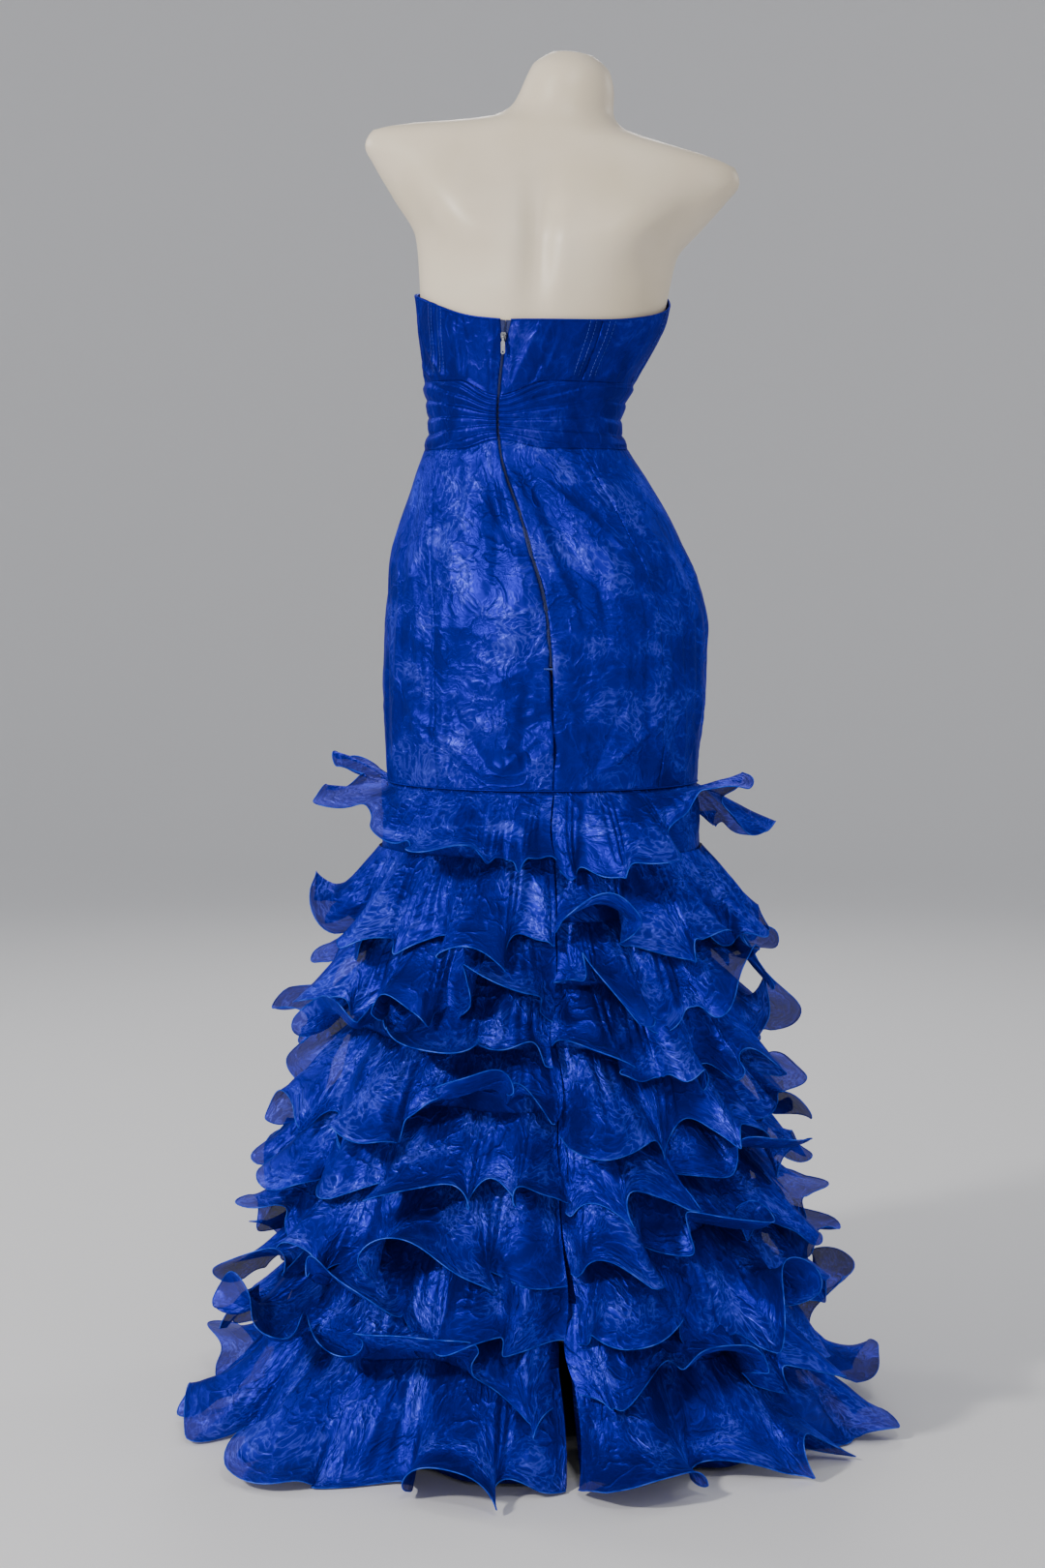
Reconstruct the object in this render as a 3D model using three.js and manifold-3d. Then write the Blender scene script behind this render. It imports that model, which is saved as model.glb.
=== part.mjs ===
import * as THREE from 'three';
import { mergeVertices } from 'three/addons/utils/BufferGeometryUtils.js';
import Module from 'manifold-3d';

// A strapless evening gown of blue organza on a limbless dress form with a pole and a round foot.
// Units are millimetres and +Z is up. The wearer's left is +X, and the back of the gown is +Y.
// The origin is on the floor, under the middle of the foot.

// Cloth and seams
const WALL = 1.4;
const RUFFLE_WALL = 1.2;
const SEAM_GAP = 0.3;
const DEGREES = Math.PI / 180;
const SAME_SHARE = 1e-6;
const SAME_POINT = 1e-4;

// Heights of the seams and edges
const HEM_Z = 5;
const KNEE_SEAM_Z = 725;
const WAIST_LOW_Z = 1096;
const WAIST_HIGH_Z = 1170;
const BACK_NECK_Z = 1234;

// The dress form: half width at the side and half depths to the back and front of each section.
const FORM_SECTIONS = [
  { z: 700, side: 150, back: 96, front: 95 },
  { z: 800, side: 164, back: 114, front: 102 },
  { z: 896, side: 169, back: 124, front: 106 },
  { z: 980, side: 156, back: 113, front: 104 },
  { z: 1060, side: 124, back: 92, front: 97 },
  { z: 1124, side: 104, back: 80, front: 89 },
  { z: 1180, side: 117, back: 86, front: 96 },
  { z: 1234, side: 134, back: 94, front: 104 },
  { z: 1275, side: 139, back: 99, front: 106 },
  { z: 1320, side: 146, back: 100, front: 100 },
  { z: 1357, side: 172, back: 90, front: 90 },
  { z: 1390, side: 196, back: 77, front: 78 },
  { z: 1412, side: 209, back: 68, front: 69 },
  { z: 1428, side: 203, back: 62, front: 63 },
  { z: 1438, side: 172, back: 59, front: 60 },
  { z: 1446, side: 126, back: 57, front: 58 },
  { z: 1457, side: 74, back: 53, front: 54 },
  { z: 1472, side: 56, back: 49, front: 50 },
  { z: 1500, side: 49, back: 46, front: 46 },
  { z: 1518, side: 42, back: 40, front: 40 },
  { z: 1529, side: 28, back: 27, front: 27 },
];
const FORM_TOP_Z = 1534;
const FORM_COLUMNS = 32;
const FORM_ROW_HEIGHT = 17;

// The fitted part of the gown, from the knee seam to the neckline, to the outer face of the cloth.
const GOWN_SECTIONS = [
  { z: 725, side: 175, back: 150, front: 135 },
  { z: 786, side: 179, back: 149, front: 134 },
  { z: 841, side: 181, back: 148, front: 133 },
  { z: 896, side: 180, back: 146, front: 130 },
  { z: 950, side: 172, back: 137, front: 124 },
  { z: 1015, side: 151, back: 114, front: 113 },
  { z: 1060, side: 132, back: 98, front: 103 },
  { z: 1124, side: 107, back: 83, front: 92 },
  { z: 1180, side: 120, back: 88.4, front: 99.2 },
  { z: 1234, side: 137.2, back: 96.6, front: 107.4 },
  { z: 1275, side: 142.4, back: 101.6, front: 109.4 },
  { z: 1320, side: 149.4, back: 102.6, front: 103.4 },
];

// The fullness of the two cups, cut into the bodice and lower on the form under it.
const CUP = { z: 1246, height: 62, angle: 148, width: 32, depth: 16, formDepth: 9 };

// How far the middle of each section stands to the side, and how far the section tips, left up.
const LEAN = [
  { z: 0, shift: 6, tip: 0 },
  { z: 725, shift: -6, tip: 0 },
  { z: 896, shift: -9, tip: 0 },
  { z: 1010, shift: 0, tip: 0 },
  { z: 1124, shift: 14, tip: 0 },
  { z: 1250, shift: -5, tip: 3.5 },
  { z: 1424, shift: -17, tip: 6.5 },
  { z: 1500, shift: -36, tip: 6.5 },
  { z: 1534, shift: -40, tip: 6.5 },
];

// How far the centre-back line stands round to the wearer's left, in degrees.
const CENTRE_BACK = [
  { z: 0, turn: -12 },
  { z: 725, turn: -8 },
  { z: 900, turn: -5 },
  { z: 1000, turn: 1 },
  { z: 1124, turn: 12 },
  { z: 1234, turn: 12.5 },
];

// Top edge of the bodice, by the angle round from the centre back.
const NECKLINE = [
  { angle: 0, z: 1234 },
  { angle: 45, z: 1240 },
  { angle: 92, z: 1262 },
  { angle: 125, z: 1288 },
  { angle: 150, z: 1298 },
  { angle: 180, z: 1282 },
];

// Rows of points down the bodice, and down the fitted skirt beside the zip and below it
const BODICE_ROWS = 6;
const SKIRT_ROWS = { besideZip: 5, belowZip: 3 };

// Seams of the fitted part by angle from the centre back, and the steps from each to the next.
const SEAMS = [
  { angle: 0, steps: 5 },
  { angle: 44, steps: 5 },
  { angle: 92, steps: 6 },
  { angle: 152, steps: 6 },
  { angle: 208, steps: 6 },
  { angle: 268, steps: 5 },
  { angle: 316, steps: 5 },
  { angle: 360, steps: 0 },
];

// Soft folds of the fitted skirt, by angle from the centre back and height; a depth below zero is a hollow.
const SKIRT_FOLDS = [
  { angle: 10, width: 8, depth: -5, z: 1010, height: 90 },
  { angle: -12, width: 9, depth: -7, z: 990, height: 120 },
  { angle: 27, width: 12, depth: 4, z: 960, height: 90 },
  { angle: -34, width: 12, depth: 5, z: 930, height: 110 },
  { angle: 52, width: 12, depth: -4, z: 860, height: 120 },
  { angle: -58, width: 12, depth: -4, z: 880, height: 110 },
  { angle: 82, width: 14, depth: 4, z: 990, height: 80 },
  { angle: -84, width: 14, depth: 4, z: 950, height: 90 },
  { angle: 118, width: 14, depth: -4, z: 900, height: 110 },
  { angle: -122, width: 14, depth: -4, z: 870, height: 110 },
  { angle: 152, width: 14, depth: 3, z: 940, height: 110 },
  { angle: -150, width: 14, depth: 3, z: 900, height: 110 },
  { angle: 8, width: 10, depth: -5, z: 790, height: 60 },
  { angle: -16, width: 10, depth: -5, z: 780, height: 60 },
];

// The pleated waist band: each pleat stands out at its fold and turns under towards the next one.
const WAIST_PLEATS = 4;
const PLEAT_PROFILE = [
  { share: 0, out: 0 },
  { share: 0.35, out: 1 },
];
const PLEAT_DEPTH = 3.6;
const PINCH = { angle: 26, low: 10, high: 16 };

// The flared lower skirt: rows from the hem up, with the corner power of the section and the
// share of the flute depth that each row has.
const LOWER_ROWS = [
  { z: HEM_Z, side: 316, back: 292, front: 264, power: 2.3, flute: 1 },
  { z: 150, side: 274, back: 255, front: 235, power: 2.2, flute: 0.8 },
  { z: 300, side: 243, back: 224, front: 205, power: 2.15, flute: 0.58 },
  { z: 450, side: 211, back: 194, front: 175, power: 2.1, flute: 0.34 },
  { z: 600, side: 186, back: 168, front: 150, power: 2.05, flute: 0.12 },
  { z: KNEE_SEAM_Z, side: 175, back: 150, front: 135, power: 2, flute: 0 },
];
const COLUMN_STEP = 6;

// Hollows between the flutes of the lower skirt, by angle from the centre back.
const FLUTES = [
  { angle: 0, width: 10, depth: 26 },
  { angle: 31, width: 13, depth: 36 },
  { angle: 66, width: 14, depth: 24 },
  { angle: 99, width: 13, depth: 32 },
  { angle: 134, width: 16, depth: 26 },
  { angle: 171, width: 14, depth: 34 },
  { angle: 207, width: 16, depth: 24 },
  { angle: 243, width: 13, depth: 33 },
  { angle: 277, width: 14, depth: 25 },
  { angle: 311, width: 13, depth: 32 },
  { angle: 336, width: 10, depth: 26 },
];

// The slit at the centre back: closed above its top, and open by this much at the hem.
const SLIT = { top: 250, open: 22 };

// The ten ruffles: seam height, drop of the free edge, how far it stands out and how deep it waves.
const RUFFLES = [
  { seam: 721, drop: 84, reach: 46, swing: 20, waves: 11, phase: 40 },
  { seam: 652, drop: 96, reach: 48, swing: 20, waves: 12, phase: 190 },
  { seam: 585, drop: 97, reach: 50, swing: 21, waves: 12, phase: 300 },
  { seam: 518, drop: 98, reach: 51, swing: 22, waves: 12, phase: 95 },
  { seam: 451, drop: 98, reach: 52, swing: 22, waves: 12, phase: 230 },
  { seam: 384, drop: 99, reach: 53, swing: 22, waves: 12, phase: 10 },
  { seam: 317, drop: 100, reach: 54, swing: 23, waves: 12, phase: 150 },
  { seam: 250, drop: 100, reach: 55, swing: 23, waves: 12, phase: 265 },
  { seam: 183, drop: 100, reach: 56, swing: 23, waves: 12, phase: 60 },
  { seam: 116, drop: 104, reach: 62, swing: 26, waves: 12, phase: 205 },
];

// Rows down a ruffle: share of its drop, of its reach and of its swing.
const RUFFLE_PROFILE = [
  { drop: 0, reach: 0, swing: 0 },
  { drop: 0.45, reach: 0.47, swing: 0.3 },
  { drop: 1, reach: 1, swing: 1 },
];
const RUFFLE_SEAT = 2.3;
const FIRST_RUFFLE_SEAT = 1.6;
const RUFFLE_END_GAP = 1.5;
const RUFFLE_LOBE_LIFT = 0.16;
const RUFFLE_END = { angle: 11, share: 0.4 };

// The waves widen and close up round the skirt: how often, and by how many degrees.
const RUFFLE_WANDER = { slowTurns: 3, slow: 50, quickTurns: 5, quick: 30 };

// The first ruffle stands up and out like wings at the sides.
const WINGS = [
  { angle: 98, width: 34, lift: 84, reach: 26 },
  { angle: 292, width: 24, lift: 66, reach: 18 },
  { angle: 255, width: 22, lift: 30, reach: 32 },
];

// The pole and the foot of the dress form
const POLE_RADIUS = 14;
const POLE_SIDES = 24;
const COLLAR_RADIUS = 40;
const COLLAR_HEIGHT = 10;
const FOOT_RADIUS = 170;
const FOOT_HEIGHT = 14;
const FOOT_SIDES = 32;
const SOCKET_RADIUS = 26;
const SOCKET_TOP_Z = 52;
const EDGE_ROUND = 4;

// The zip at the centre back
const ZIP_LOW_Z = 860;
const ZIP_WIDTH = 2.4;
const ZIP_MOUTH = { z: 1206, open: 5 };
const SLIDER = { z: 1216, width: 6, height: 9, depth: 2.4, taper: 1.2, lift: 0.3 };
const EARS = { apart: 2.4, wall: 0.8, height: 3, out: 2.7 };
const BAR_RADIUS = 0.55;
const BAR_SIDES = 12;
const RING_SIDES = 16;
const PULL = {
  width: 1.8,
  inner: 0.9,
  outer: 1.8,
  root: 1.2,
  neck: 4,
  shoulder: 6,
  tab: 4.6,
  length: 19,
  wall: 1,
  hole: 1.1,
  roundSteps: 8,
};

// Materials
const organza = new THREE.MeshStandardMaterial({ color: 0x1b37a8, roughness: 0.38, metalness: 0 });
const organzaEdge = new THREE.MeshStandardMaterial({ color: 0x2a4cc4, roughness: 0.4, metalness: 0 });
const formCover = new THREE.MeshStandardMaterial({ color: 0xe4dfcc, roughness: 0.55, metalness: 0 });
const standPaint = new THREE.MeshStandardMaterial({ color: 0xd9d7d0, roughness: 0.4, metalness: 0.3 });
const zipMetal = new THREE.MeshStandardMaterial({ color: 0xb9bcc2, roughness: 0.3, metalness: 0.9 });
const zipCord = new THREE.MeshStandardMaterial({ color: 0x101e5c, roughness: 0.6, metalness: 0 });

const gown = new THREE.Group();

function addPiece(name, geometry, material) {
  const mesh = new THREE.Mesh(geometry, material);
  mesh.name = name;
  gown.add(mesh);
  return mesh;
}

// Reads one column of a table, with a smooth curve through its rows that never overshoots.
function readTable(table, key, name, at) {
  const last = table.length - 1;
  if (at <= table[0][key]) return table[0][name];
  if (at >= table[last][key]) return table[last][name];
  let row = 0;
  while (table[row + 1][key] < at) row += 1;
  const slope = (i) => (table[i + 1][name] - table[i][name]) / (table[i + 1][key] - table[i][key]);
  const tangent = (i) => {
    if (i === 0) return slope(0);
    if (i === last) return slope(last - 1);
    const below = slope(i - 1);
    const above = slope(i);
    return below * above <= 0 ? 0 : (2 * below * above) / (below + above);
  };
  const span = table[row + 1][key] - table[row][key];
  const t = (at - table[row][key]) / span;
  const rise = (3 - 2 * t) * t * t;
  const leave = tangent(row) * span * t * (1 - t) * (1 - t);
  const arrive = tangent(row + 1) * span * t * t * (t - 1);
  return table[row][name] + (table[row + 1][name] - table[row][name]) * rise + leave + arrive;
}

// A soft hump, 1 at the middle and 0 one width away.
function hump(distance, width) {
  const share = Math.min(Math.abs(distance) / width, 1);
  return 0.5 + 0.5 * Math.cos(Math.PI * share);
}

// The shorter way round between two angles in degrees.
function angleBetween(a, b) {
  return THREE.MathUtils.euclideanModulo(a - b + 180, 360) - 180;
}

// A cut angle runs from the centre back round by the wearer's left. The centre-back line wanders
// over the figure and the centre front keeps its place.
function figureAngle(cut, z) {
  const share = Math.cos(cut * DEGREES / 2) ** 2;
  return cut + readTable(CENTRE_BACK, 'z', 'turn', z) * share;
}

// A point of an oval section, moved out by a distance square to the section.
function ovalPoint(section, angle, z, out) {
  const s = Math.sin(angle * DEGREES);
  const c = Math.cos(angle * DEGREES);
  const depth = c >= 0 ? section.back : section.front;
  const scale = (Math.abs(s) ** section.power + Math.abs(c) ** section.power) ** (-1 / section.power);
  const x = section.side * s * scale;
  const y = depth * c * scale;
  const nx = Math.sign(s) * Math.abs(x / section.side) ** (section.power - 1) / section.side;
  const ny = Math.sign(c) * Math.abs(y / depth) ** (section.power - 1) / depth;
  const length = Math.hypot(nx, ny);
  return new THREE.Vector3(x + out * nx / length, y + out * ny / length, z);
}

// Shifts and tips a point as the whole figure leans.
function lean(point) {
  const shift = readTable(LEAN, 'z', 'shift', point.z);
  const tip = Math.tan(readTable(LEAN, 'z', 'tip', point.z) * DEGREES);
  return new THREE.Vector3(point.x + shift, point.y, point.z + point.x * tip);
}

function sectionAt(table, z) {
  const read = (name) => readTable(table, 'z', name, z);
  return { side: read('side'), back: read('back'), front: read('front'), power: 2 };
}

function cupAt(angle, z) {
  return hump(Math.abs(angleBetween(angle, 0)) - CUP.angle, CUP.width) * hump(z - CUP.z, CUP.height);
}

// A point of the fitted gown at a cut angle and height.
function gownPoint(cut, z, out) {
  const angle = figureAngle(cut, z);
  return lean(ovalPoint(sectionAt(GOWN_SECTIONS, z), angle, z, out + CUP.depth * cupAt(angle, z)));
}

// Half of a gap in millimetres, as a turn in degrees at the back of the gown.
function gapTurn(halfGap, z) {
  return halfGap / readTable(GOWN_SECTIONS, 'z', 'side', z) / DEGREES;
}

// Closes two equal grids of points, an outer and an inner one, into one thin wall.
function wallGeometry(outer, inner) {
  const rows = outer.length;
  const columns = outer[0].length;
  const position = [];
  for (const grid of [outer, inner]) {
    for (const row of grid) {
      for (const point of row) position.push(point.x, point.y, point.z);
    }
  }
  const index = [];
  const at = (side, row, column) => (side * rows + row) * columns + column;
  const quad = (a, b, c, d) => index.push(a, b, c, a, c, d);
  for (let r = 0; r < rows - 1; r += 1) {
    for (let c = 0; c < columns - 1; c += 1) {
      quad(at(0, r, c), at(0, r, c + 1), at(0, r + 1, c + 1), at(0, r + 1, c));
      quad(at(1, r, c), at(1, r + 1, c), at(1, r + 1, c + 1), at(1, r, c + 1));
    }
  }
  for (let c = 0; c < columns - 1; c += 1) {
    quad(at(0, 0, c), at(1, 0, c), at(1, 0, c + 1), at(0, 0, c + 1));
    quad(at(0, rows - 1, c), at(0, rows - 1, c + 1), at(1, rows - 1, c + 1), at(1, rows - 1, c));
  }
  const end = columns - 1;
  for (let r = 0; r < rows - 1; r += 1) {
    quad(at(0, r, 0), at(0, r + 1, 0), at(1, r + 1, 0), at(1, r, 0));
    quad(at(0, r, end), at(1, r, end), at(1, r + 1, end), at(0, r + 1, end));
  }
  const geometry = new THREE.BufferGeometry();
  geometry.setAttribute('position', new THREE.Float32BufferAttribute(position, 3));
  geometry.setIndex(index);
  return geometry;
}

// A panel of the fitted gown between two cut angles and two edges, with rows from its top down.
function fittedPanel(name, cutFrom, cutTo, rowShares, highAt, lowAt, outAt) {
  const outer = [];
  const inner = [];
  for (const share of rowShares) {
    const outerRow = [];
    const innerRow = [];
    for (const seamCut of fittedCuts(cutFrom, cutTo)) {
      const z = THREE.MathUtils.lerp(highAt(seamCut) - SEAM_GAP / 2, lowAt(seamCut) + SEAM_GAP / 2, share);
      let cut = seamCut;
      if (seamCut === cutFrom) cut += edgeTurn(cutFrom, z);
      if (seamCut === cutTo) cut -= edgeTurn(cutTo, z);
      const out = outAt(cut, z, share);
      outerRow.push(gownPoint(cut, z, out));
      innerRow.push(gownPoint(cut, z, out - WALL));
    }
    outer.push(outerRow);
    inner.push(innerRow);
  }
  addPiece(name, wallGeometry(outer, inner), organza);
}

// The angles of the columns between two seams, the same for every panel above and below.
function fittedCuts(cutFrom, cutTo) {
  const cuts = [cutFrom];
  SEAMS.slice(0, -1).forEach((seam, i) => {
    const next = SEAMS[i + 1].angle;
    if (seam.angle < cutFrom || next > cutTo) return;
    for (let step = 1; step < seam.steps; step += 1) {
      cuts.push(THREE.MathUtils.lerp(seam.angle, next, step / seam.steps));
    }
    cuts.push(next);
  });
  return cuts;
}

// Panels keep half a seam gap from each other, and more at the centre back, where the zip lies
// between them and its mouth opens to the neckline.
function edgeTurn(cut, z) {
  let halfGap = SEAM_GAP / 2;
  if (cut % 360 === 0 && z > ZIP_LOW_Z - SEAM_GAP) halfGap = ZIP_WIDTH / 2 + SEAM_GAP;
  if (cut % 360 === 0 && z > ZIP_MOUTH.z) {
    halfGap += (ZIP_MOUTH.open * (z - ZIP_MOUTH.z)) / (BACK_NECK_Z - ZIP_MOUTH.z);
  }
  return gapTurn(halfGap, z);
}

const evenShares = (rows) => Array.from({ length: rows + 1 }, (_, i) => i / rows);
const necklineAt = (cut) => readTable(NECKLINE, 'angle', 'z', Math.abs(angleBetween(cut, 0)));
const pinchAt = (cut) => hump(angleBetween(cut, 0), PINCH.angle);
const waistHighAt = (cut) => WAIST_HIGH_Z - PINCH.high * pinchAt(cut);
const waistLowAt = (cut) => WAIST_LOW_Z + PINCH.low * pinchAt(cut);
const kneeAt = () => KNEE_SEAM_Z;

// The heights of the form's rows: the sections, and even steps between those that the bodice covers.
function formHeights() {
  const heights = [FORM_SECTIONS[0].z];
  for (const section of FORM_SECTIONS.slice(1)) {
    const below = heights[heights.length - 1];
    const steps = section.z > WAIST_LOW_Z ? Math.ceil((section.z - below) / FORM_ROW_HEIGHT) : 1;
    for (let i = 1; i <= steps; i += 1) heights.push(THREE.MathUtils.lerp(below, section.z, i / steps));
  }
  return heights;
}

// The form stands inside the gown, one smooth closed body.
function formGeometry() {
  const position = [];
  const index = [];
  const heights = formHeights();
  const rows = heights.length;
  for (const z of heights) {
    for (let c = 0; c < FORM_COLUMNS; c += 1) {
      const angle = (360 * c) / FORM_COLUMNS;
      const point = ovalPoint(sectionAt(FORM_SECTIONS, z), angle, z, CUP.formDepth * cupAt(angle, z));
      position.push(...lean(point).toArray());
    }
  }
  position.push(...lean(new THREE.Vector3(0, 0, FORM_SECTIONS[0].z)).toArray());
  position.push(...lean(new THREE.Vector3(0, 0, FORM_TOP_Z)).toArray());
  const bottom = rows * FORM_COLUMNS;
  for (let c = 0; c < FORM_COLUMNS; c += 1) {
    const next = (c + 1) % FORM_COLUMNS;
    for (let r = 0; r < rows - 1; r += 1) {
      const low = r * FORM_COLUMNS;
      const high = low + FORM_COLUMNS;
      index.push(low + c, high + c, high + next, low + c, high + next, low + next);
    }
    index.push(bottom, c, next);
    index.push(bottom + 1, (rows - 1) * FORM_COLUMNS + next, (rows - 1) * FORM_COLUMNS + c);
  }
  const geometry = new THREE.BufferGeometry();
  geometry.setAttribute('position', new THREE.Float32BufferAttribute(position, 3));
  geometry.setIndex(index);
  return geometry;
}
addPiece('form_torso', formGeometry(), formCover);

// Turned pieces: a profile of radius and height round the upright axis.
function turnedGeometry(profile, sides) {
  const points = profile.map(([radius, z]) => new THREE.Vector2(radius, z));
  return new THREE.LatheGeometry(points, sides).rotateX(Math.PI / 2);
}

const poleTop = FORM_SECTIONS[0].z - SEAM_GAP;
const socketFloor = FOOT_HEIGHT;
addPiece('stand_pole', turnedGeometry([
  [0, socketFloor + SEAM_GAP],
  [POLE_RADIUS, socketFloor + SEAM_GAP],
  [POLE_RADIUS, poleTop - COLLAR_HEIGHT],
  [COLLAR_RADIUS - EDGE_ROUND, poleTop - COLLAR_HEIGHT],
  [COLLAR_RADIUS, poleTop - COLLAR_HEIGHT + EDGE_ROUND],
  [COLLAR_RADIUS, poleTop],
  [0, poleTop],
], POLE_SIDES), standPaint);
addPiece('stand_foot', turnedGeometry([
  [0, 0],
  [FOOT_RADIUS - EDGE_ROUND / 2, 0],
  [FOOT_RADIUS, EDGE_ROUND / 2],
  [FOOT_RADIUS, FOOT_HEIGHT - EDGE_ROUND],
  [FOOT_RADIUS - EDGE_ROUND, FOOT_HEIGHT],
  [SOCKET_RADIUS, FOOT_HEIGHT],
  [SOCKET_RADIUS, SOCKET_TOP_Z - EDGE_ROUND],
  [SOCKET_RADIUS - EDGE_ROUND, SOCKET_TOP_Z],
  [POLE_RADIUS + SEAM_GAP, SOCKET_TOP_Z],
  [POLE_RADIUS + SEAM_GAP, socketFloor],
  [0, socketFloor],
], FOOT_SIDES), standPaint);

// The bodice has seven panels, joined by princess seams.
const BODICE_SHARES = evenShares(BODICE_ROWS);
const flat = () => 0;
for (const [name, cutFrom, cutTo] of [
  ['bodice_centre_back_left', 0, 44],
  ['bodice_side_back_left', 44, 92],
  ['bodice_side_front_left', 92, 152],
  ['bodice_centre_front', 152, 208],
  ['bodice_side_front_right', 208, 268],
  ['bodice_side_back_right', 268, 316],
  ['bodice_centre_back_right', 316, 360],
]) {
  fittedPanel(name, cutFrom, cutTo, BODICE_SHARES, necklineAt, waistHighAt, flat);
}

// The waist band has long pleats that run level round the waist and draw together at the zip.
const PLEAT_ROWS = [];
for (let pleat = 0; pleat < WAIST_PLEATS; pleat += 1) {
  for (const step of PLEAT_PROFILE) {
    PLEAT_ROWS.push({ share: (pleat + step.share) / WAIST_PLEATS, out: step.out * PLEAT_DEPTH });
  }
}
PLEAT_ROWS.push({ share: 1, out: 0 });
const pleatOut = (cut, z, share) => PLEAT_ROWS.find((row) => row.share >= share - SAME_SHARE).out;
for (const [name, cutFrom, cutTo] of [
  ['waist_back_left', 0, 92],
  ['waist_front', 92, 268],
  ['waist_back_right', 268, 360],
]) {
  const shares = PLEAT_ROWS.map((row) => row.share);
  fittedPanel(name, cutFrom, cutTo, shares, waistHighAt, waistLowAt, pleatOut);
}

// The fitted skirt has five panels and hangs in soft folds from the waist band to the knee seam.
function skirtOut(cut, z) {
  let out = 0;
  for (const fold of SKIRT_FOLDS) {
    out += fold.depth * hump(angleBetween(cut, fold.angle), fold.width) * hump(z - fold.z, fold.height);
  }
  return out;
}
const zipShare = (waistLowAt(0) - ZIP_LOW_Z) / (waistLowAt(0) - KNEE_SEAM_Z);
const SKIRT_SHARES = [
  ...evenShares(SKIRT_ROWS.besideZip).map((share) => share * zipShare),
  ...evenShares(SKIRT_ROWS.belowZip).slice(1).map((share) => zipShare + share * (1 - zipShare)),
];
for (const [name, cutFrom, cutTo] of [
  ['skirt_centre_back_left', 0, 44],
  ['skirt_side_back_left', 44, 92],
  ['skirt_front', 92, 268],
  ['skirt_side_back_right', 268, 316],
  ['skirt_centre_back_right', 316, 360],
]) {
  fittedPanel(name, cutFrom, cutTo, SKIRT_SHARES, waistLowAt, kneeAt, skirtOut);
}

// A point of one row of the lower skirt, with its flutes.
function lowerRowPoint(row, cut, out) {
  let hollow = 0;
  for (const flute of FLUTES) {
    hollow += flute.depth * hump(angleBetween(cut, flute.angle), flute.width);
  }
  return lean(ovalPoint(row, figureAngle(cut, row.z), row.z, out - hollow * row.flute));
}

// The lower skirt runs straight from row to row.
function lowerPoint(cut, z, out) {
  let row = 0;
  while (row < LOWER_ROWS.length - 2 && LOWER_ROWS[row + 1].z < z) row += 1;
  const low = LOWER_ROWS[row];
  const high = LOWER_ROWS[row + 1];
  return lowerRowPoint(low, cut, out).lerp(lowerRowPoint(high, cut, out), (z - low.z) / (high.z - low.z));
}

// Half the width of the slit at the centre back, as a turn in degrees.
function slitTurn(z, extra) {
  const open = SLIT.open * Math.max(0, 1 - z / SLIT.top);
  return (SEAM_GAP + extra + open) / 2 / readTable(LOWER_ROWS, 'z', 'back', z) / DEGREES;
}

// Cut angles from one panel edge to the other, kept clear of the slit or of the next panel.
function lowerCuts(cutFrom, cutTo, z, extra) {
  const cuts = [];
  for (let cut = cutFrom; cut <= cutTo; cut += COLUMN_STEP) {
    let turn = cut;
    if (cut === cutFrom) turn += cut % 360 === 0 ? slitTurn(z, extra) : gapTurn(SEAM_GAP / 2, z);
    if (cut === cutTo) turn -= cut % 360 === 0 ? slitTurn(z, extra) : gapTurn(SEAM_GAP / 2, z);
    cuts.push(turn);
  }
  return cuts;
}

// The lower skirt has a front and two backs.
for (const [name, cutFrom, cutTo] of [
  ['lower_back_left', 0, 102],
  ['lower_front', 102, 258],
  ['lower_back_right', 258, 360],
]) {
  const heights = LOWER_ROWS.map((row) => row.z).reverse();
  heights[0] -= SEAM_GAP / 2;
  const rowAt = (z, out) => lowerCuts(cutFrom, cutTo, z, 0).map((cut) => lowerPoint(cut, z, out));
  const grid = (out) => heights.map((z) => rowAt(z, out));
  addPiece(name, wallGeometry(grid(0), grid(-WALL)), organza);
}

// Waves of a ruffle, -1 to 1, uneven in width because the phase wanders round the skirt.
function ruffleWave(ruffle, cut) {
  const wander = RUFFLE_WANDER;
  const slow = wander.slow * Math.sin((wander.slowTurns * cut + ruffle.phase) * DEGREES);
  const quick = wander.quick * Math.sin((wander.quickTurns * cut - 2 * ruffle.phase) * DEGREES);
  return Math.sin((ruffle.waves * cut + ruffle.phase + slow + quick) * DEGREES);
}

// A point of a ruffle's outer face. The strip's ends lie closer at the centre-back seam.
function rufflePoint(ruffle, step, cut, isFirst) {
  const ends = hump(angleBetween(cut, 0), RUFFLE_END.angle);
  const fullness = 1 - (1 - RUFFLE_END.share) * ends;
  let drop = ruffle.drop;
  let reach = ruffle.reach;
  if (isFirst) {
    for (const wing of WINGS) {
      const share = hump(angleBetween(cut, wing.angle), wing.width);
      drop -= wing.lift * share;
      reach += wing.reach * share;
    }
  }
  const wave = ruffleWave(ruffle, cut);
  const z = ruffle.seam - drop * step.drop * (1 - RUFFLE_LOBE_LIFT * Math.max(0, wave) * step.swing);
  const seat = isFirst ? FIRST_RUFFLE_SEAT : RUFFLE_SEAT;
  return lowerPoint(cut, z, seat + fullness * (reach * step.reach + ruffle.swing * step.swing * wave));
}

// The inner face lies one wall behind the outer one, square to the waving surface.
function behind(grid, wall) {
  return grid.map((row, r) => row.map((point, c) => {
    const above = grid[Math.max(r - 1, 0)][c];
    const below = grid[Math.min(r + 1, grid.length - 1)][c];
    const before = row[Math.max(c - 1, 0)];
    const after = row[Math.min(c + 1, row.length - 1)];
    const along = new THREE.Vector3().subVectors(after, before);
    const down = new THREE.Vector3().subVectors(below, above);
    return point.clone().addScaledVector(down.cross(along).normalize(), wall);
  }));
}

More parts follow.
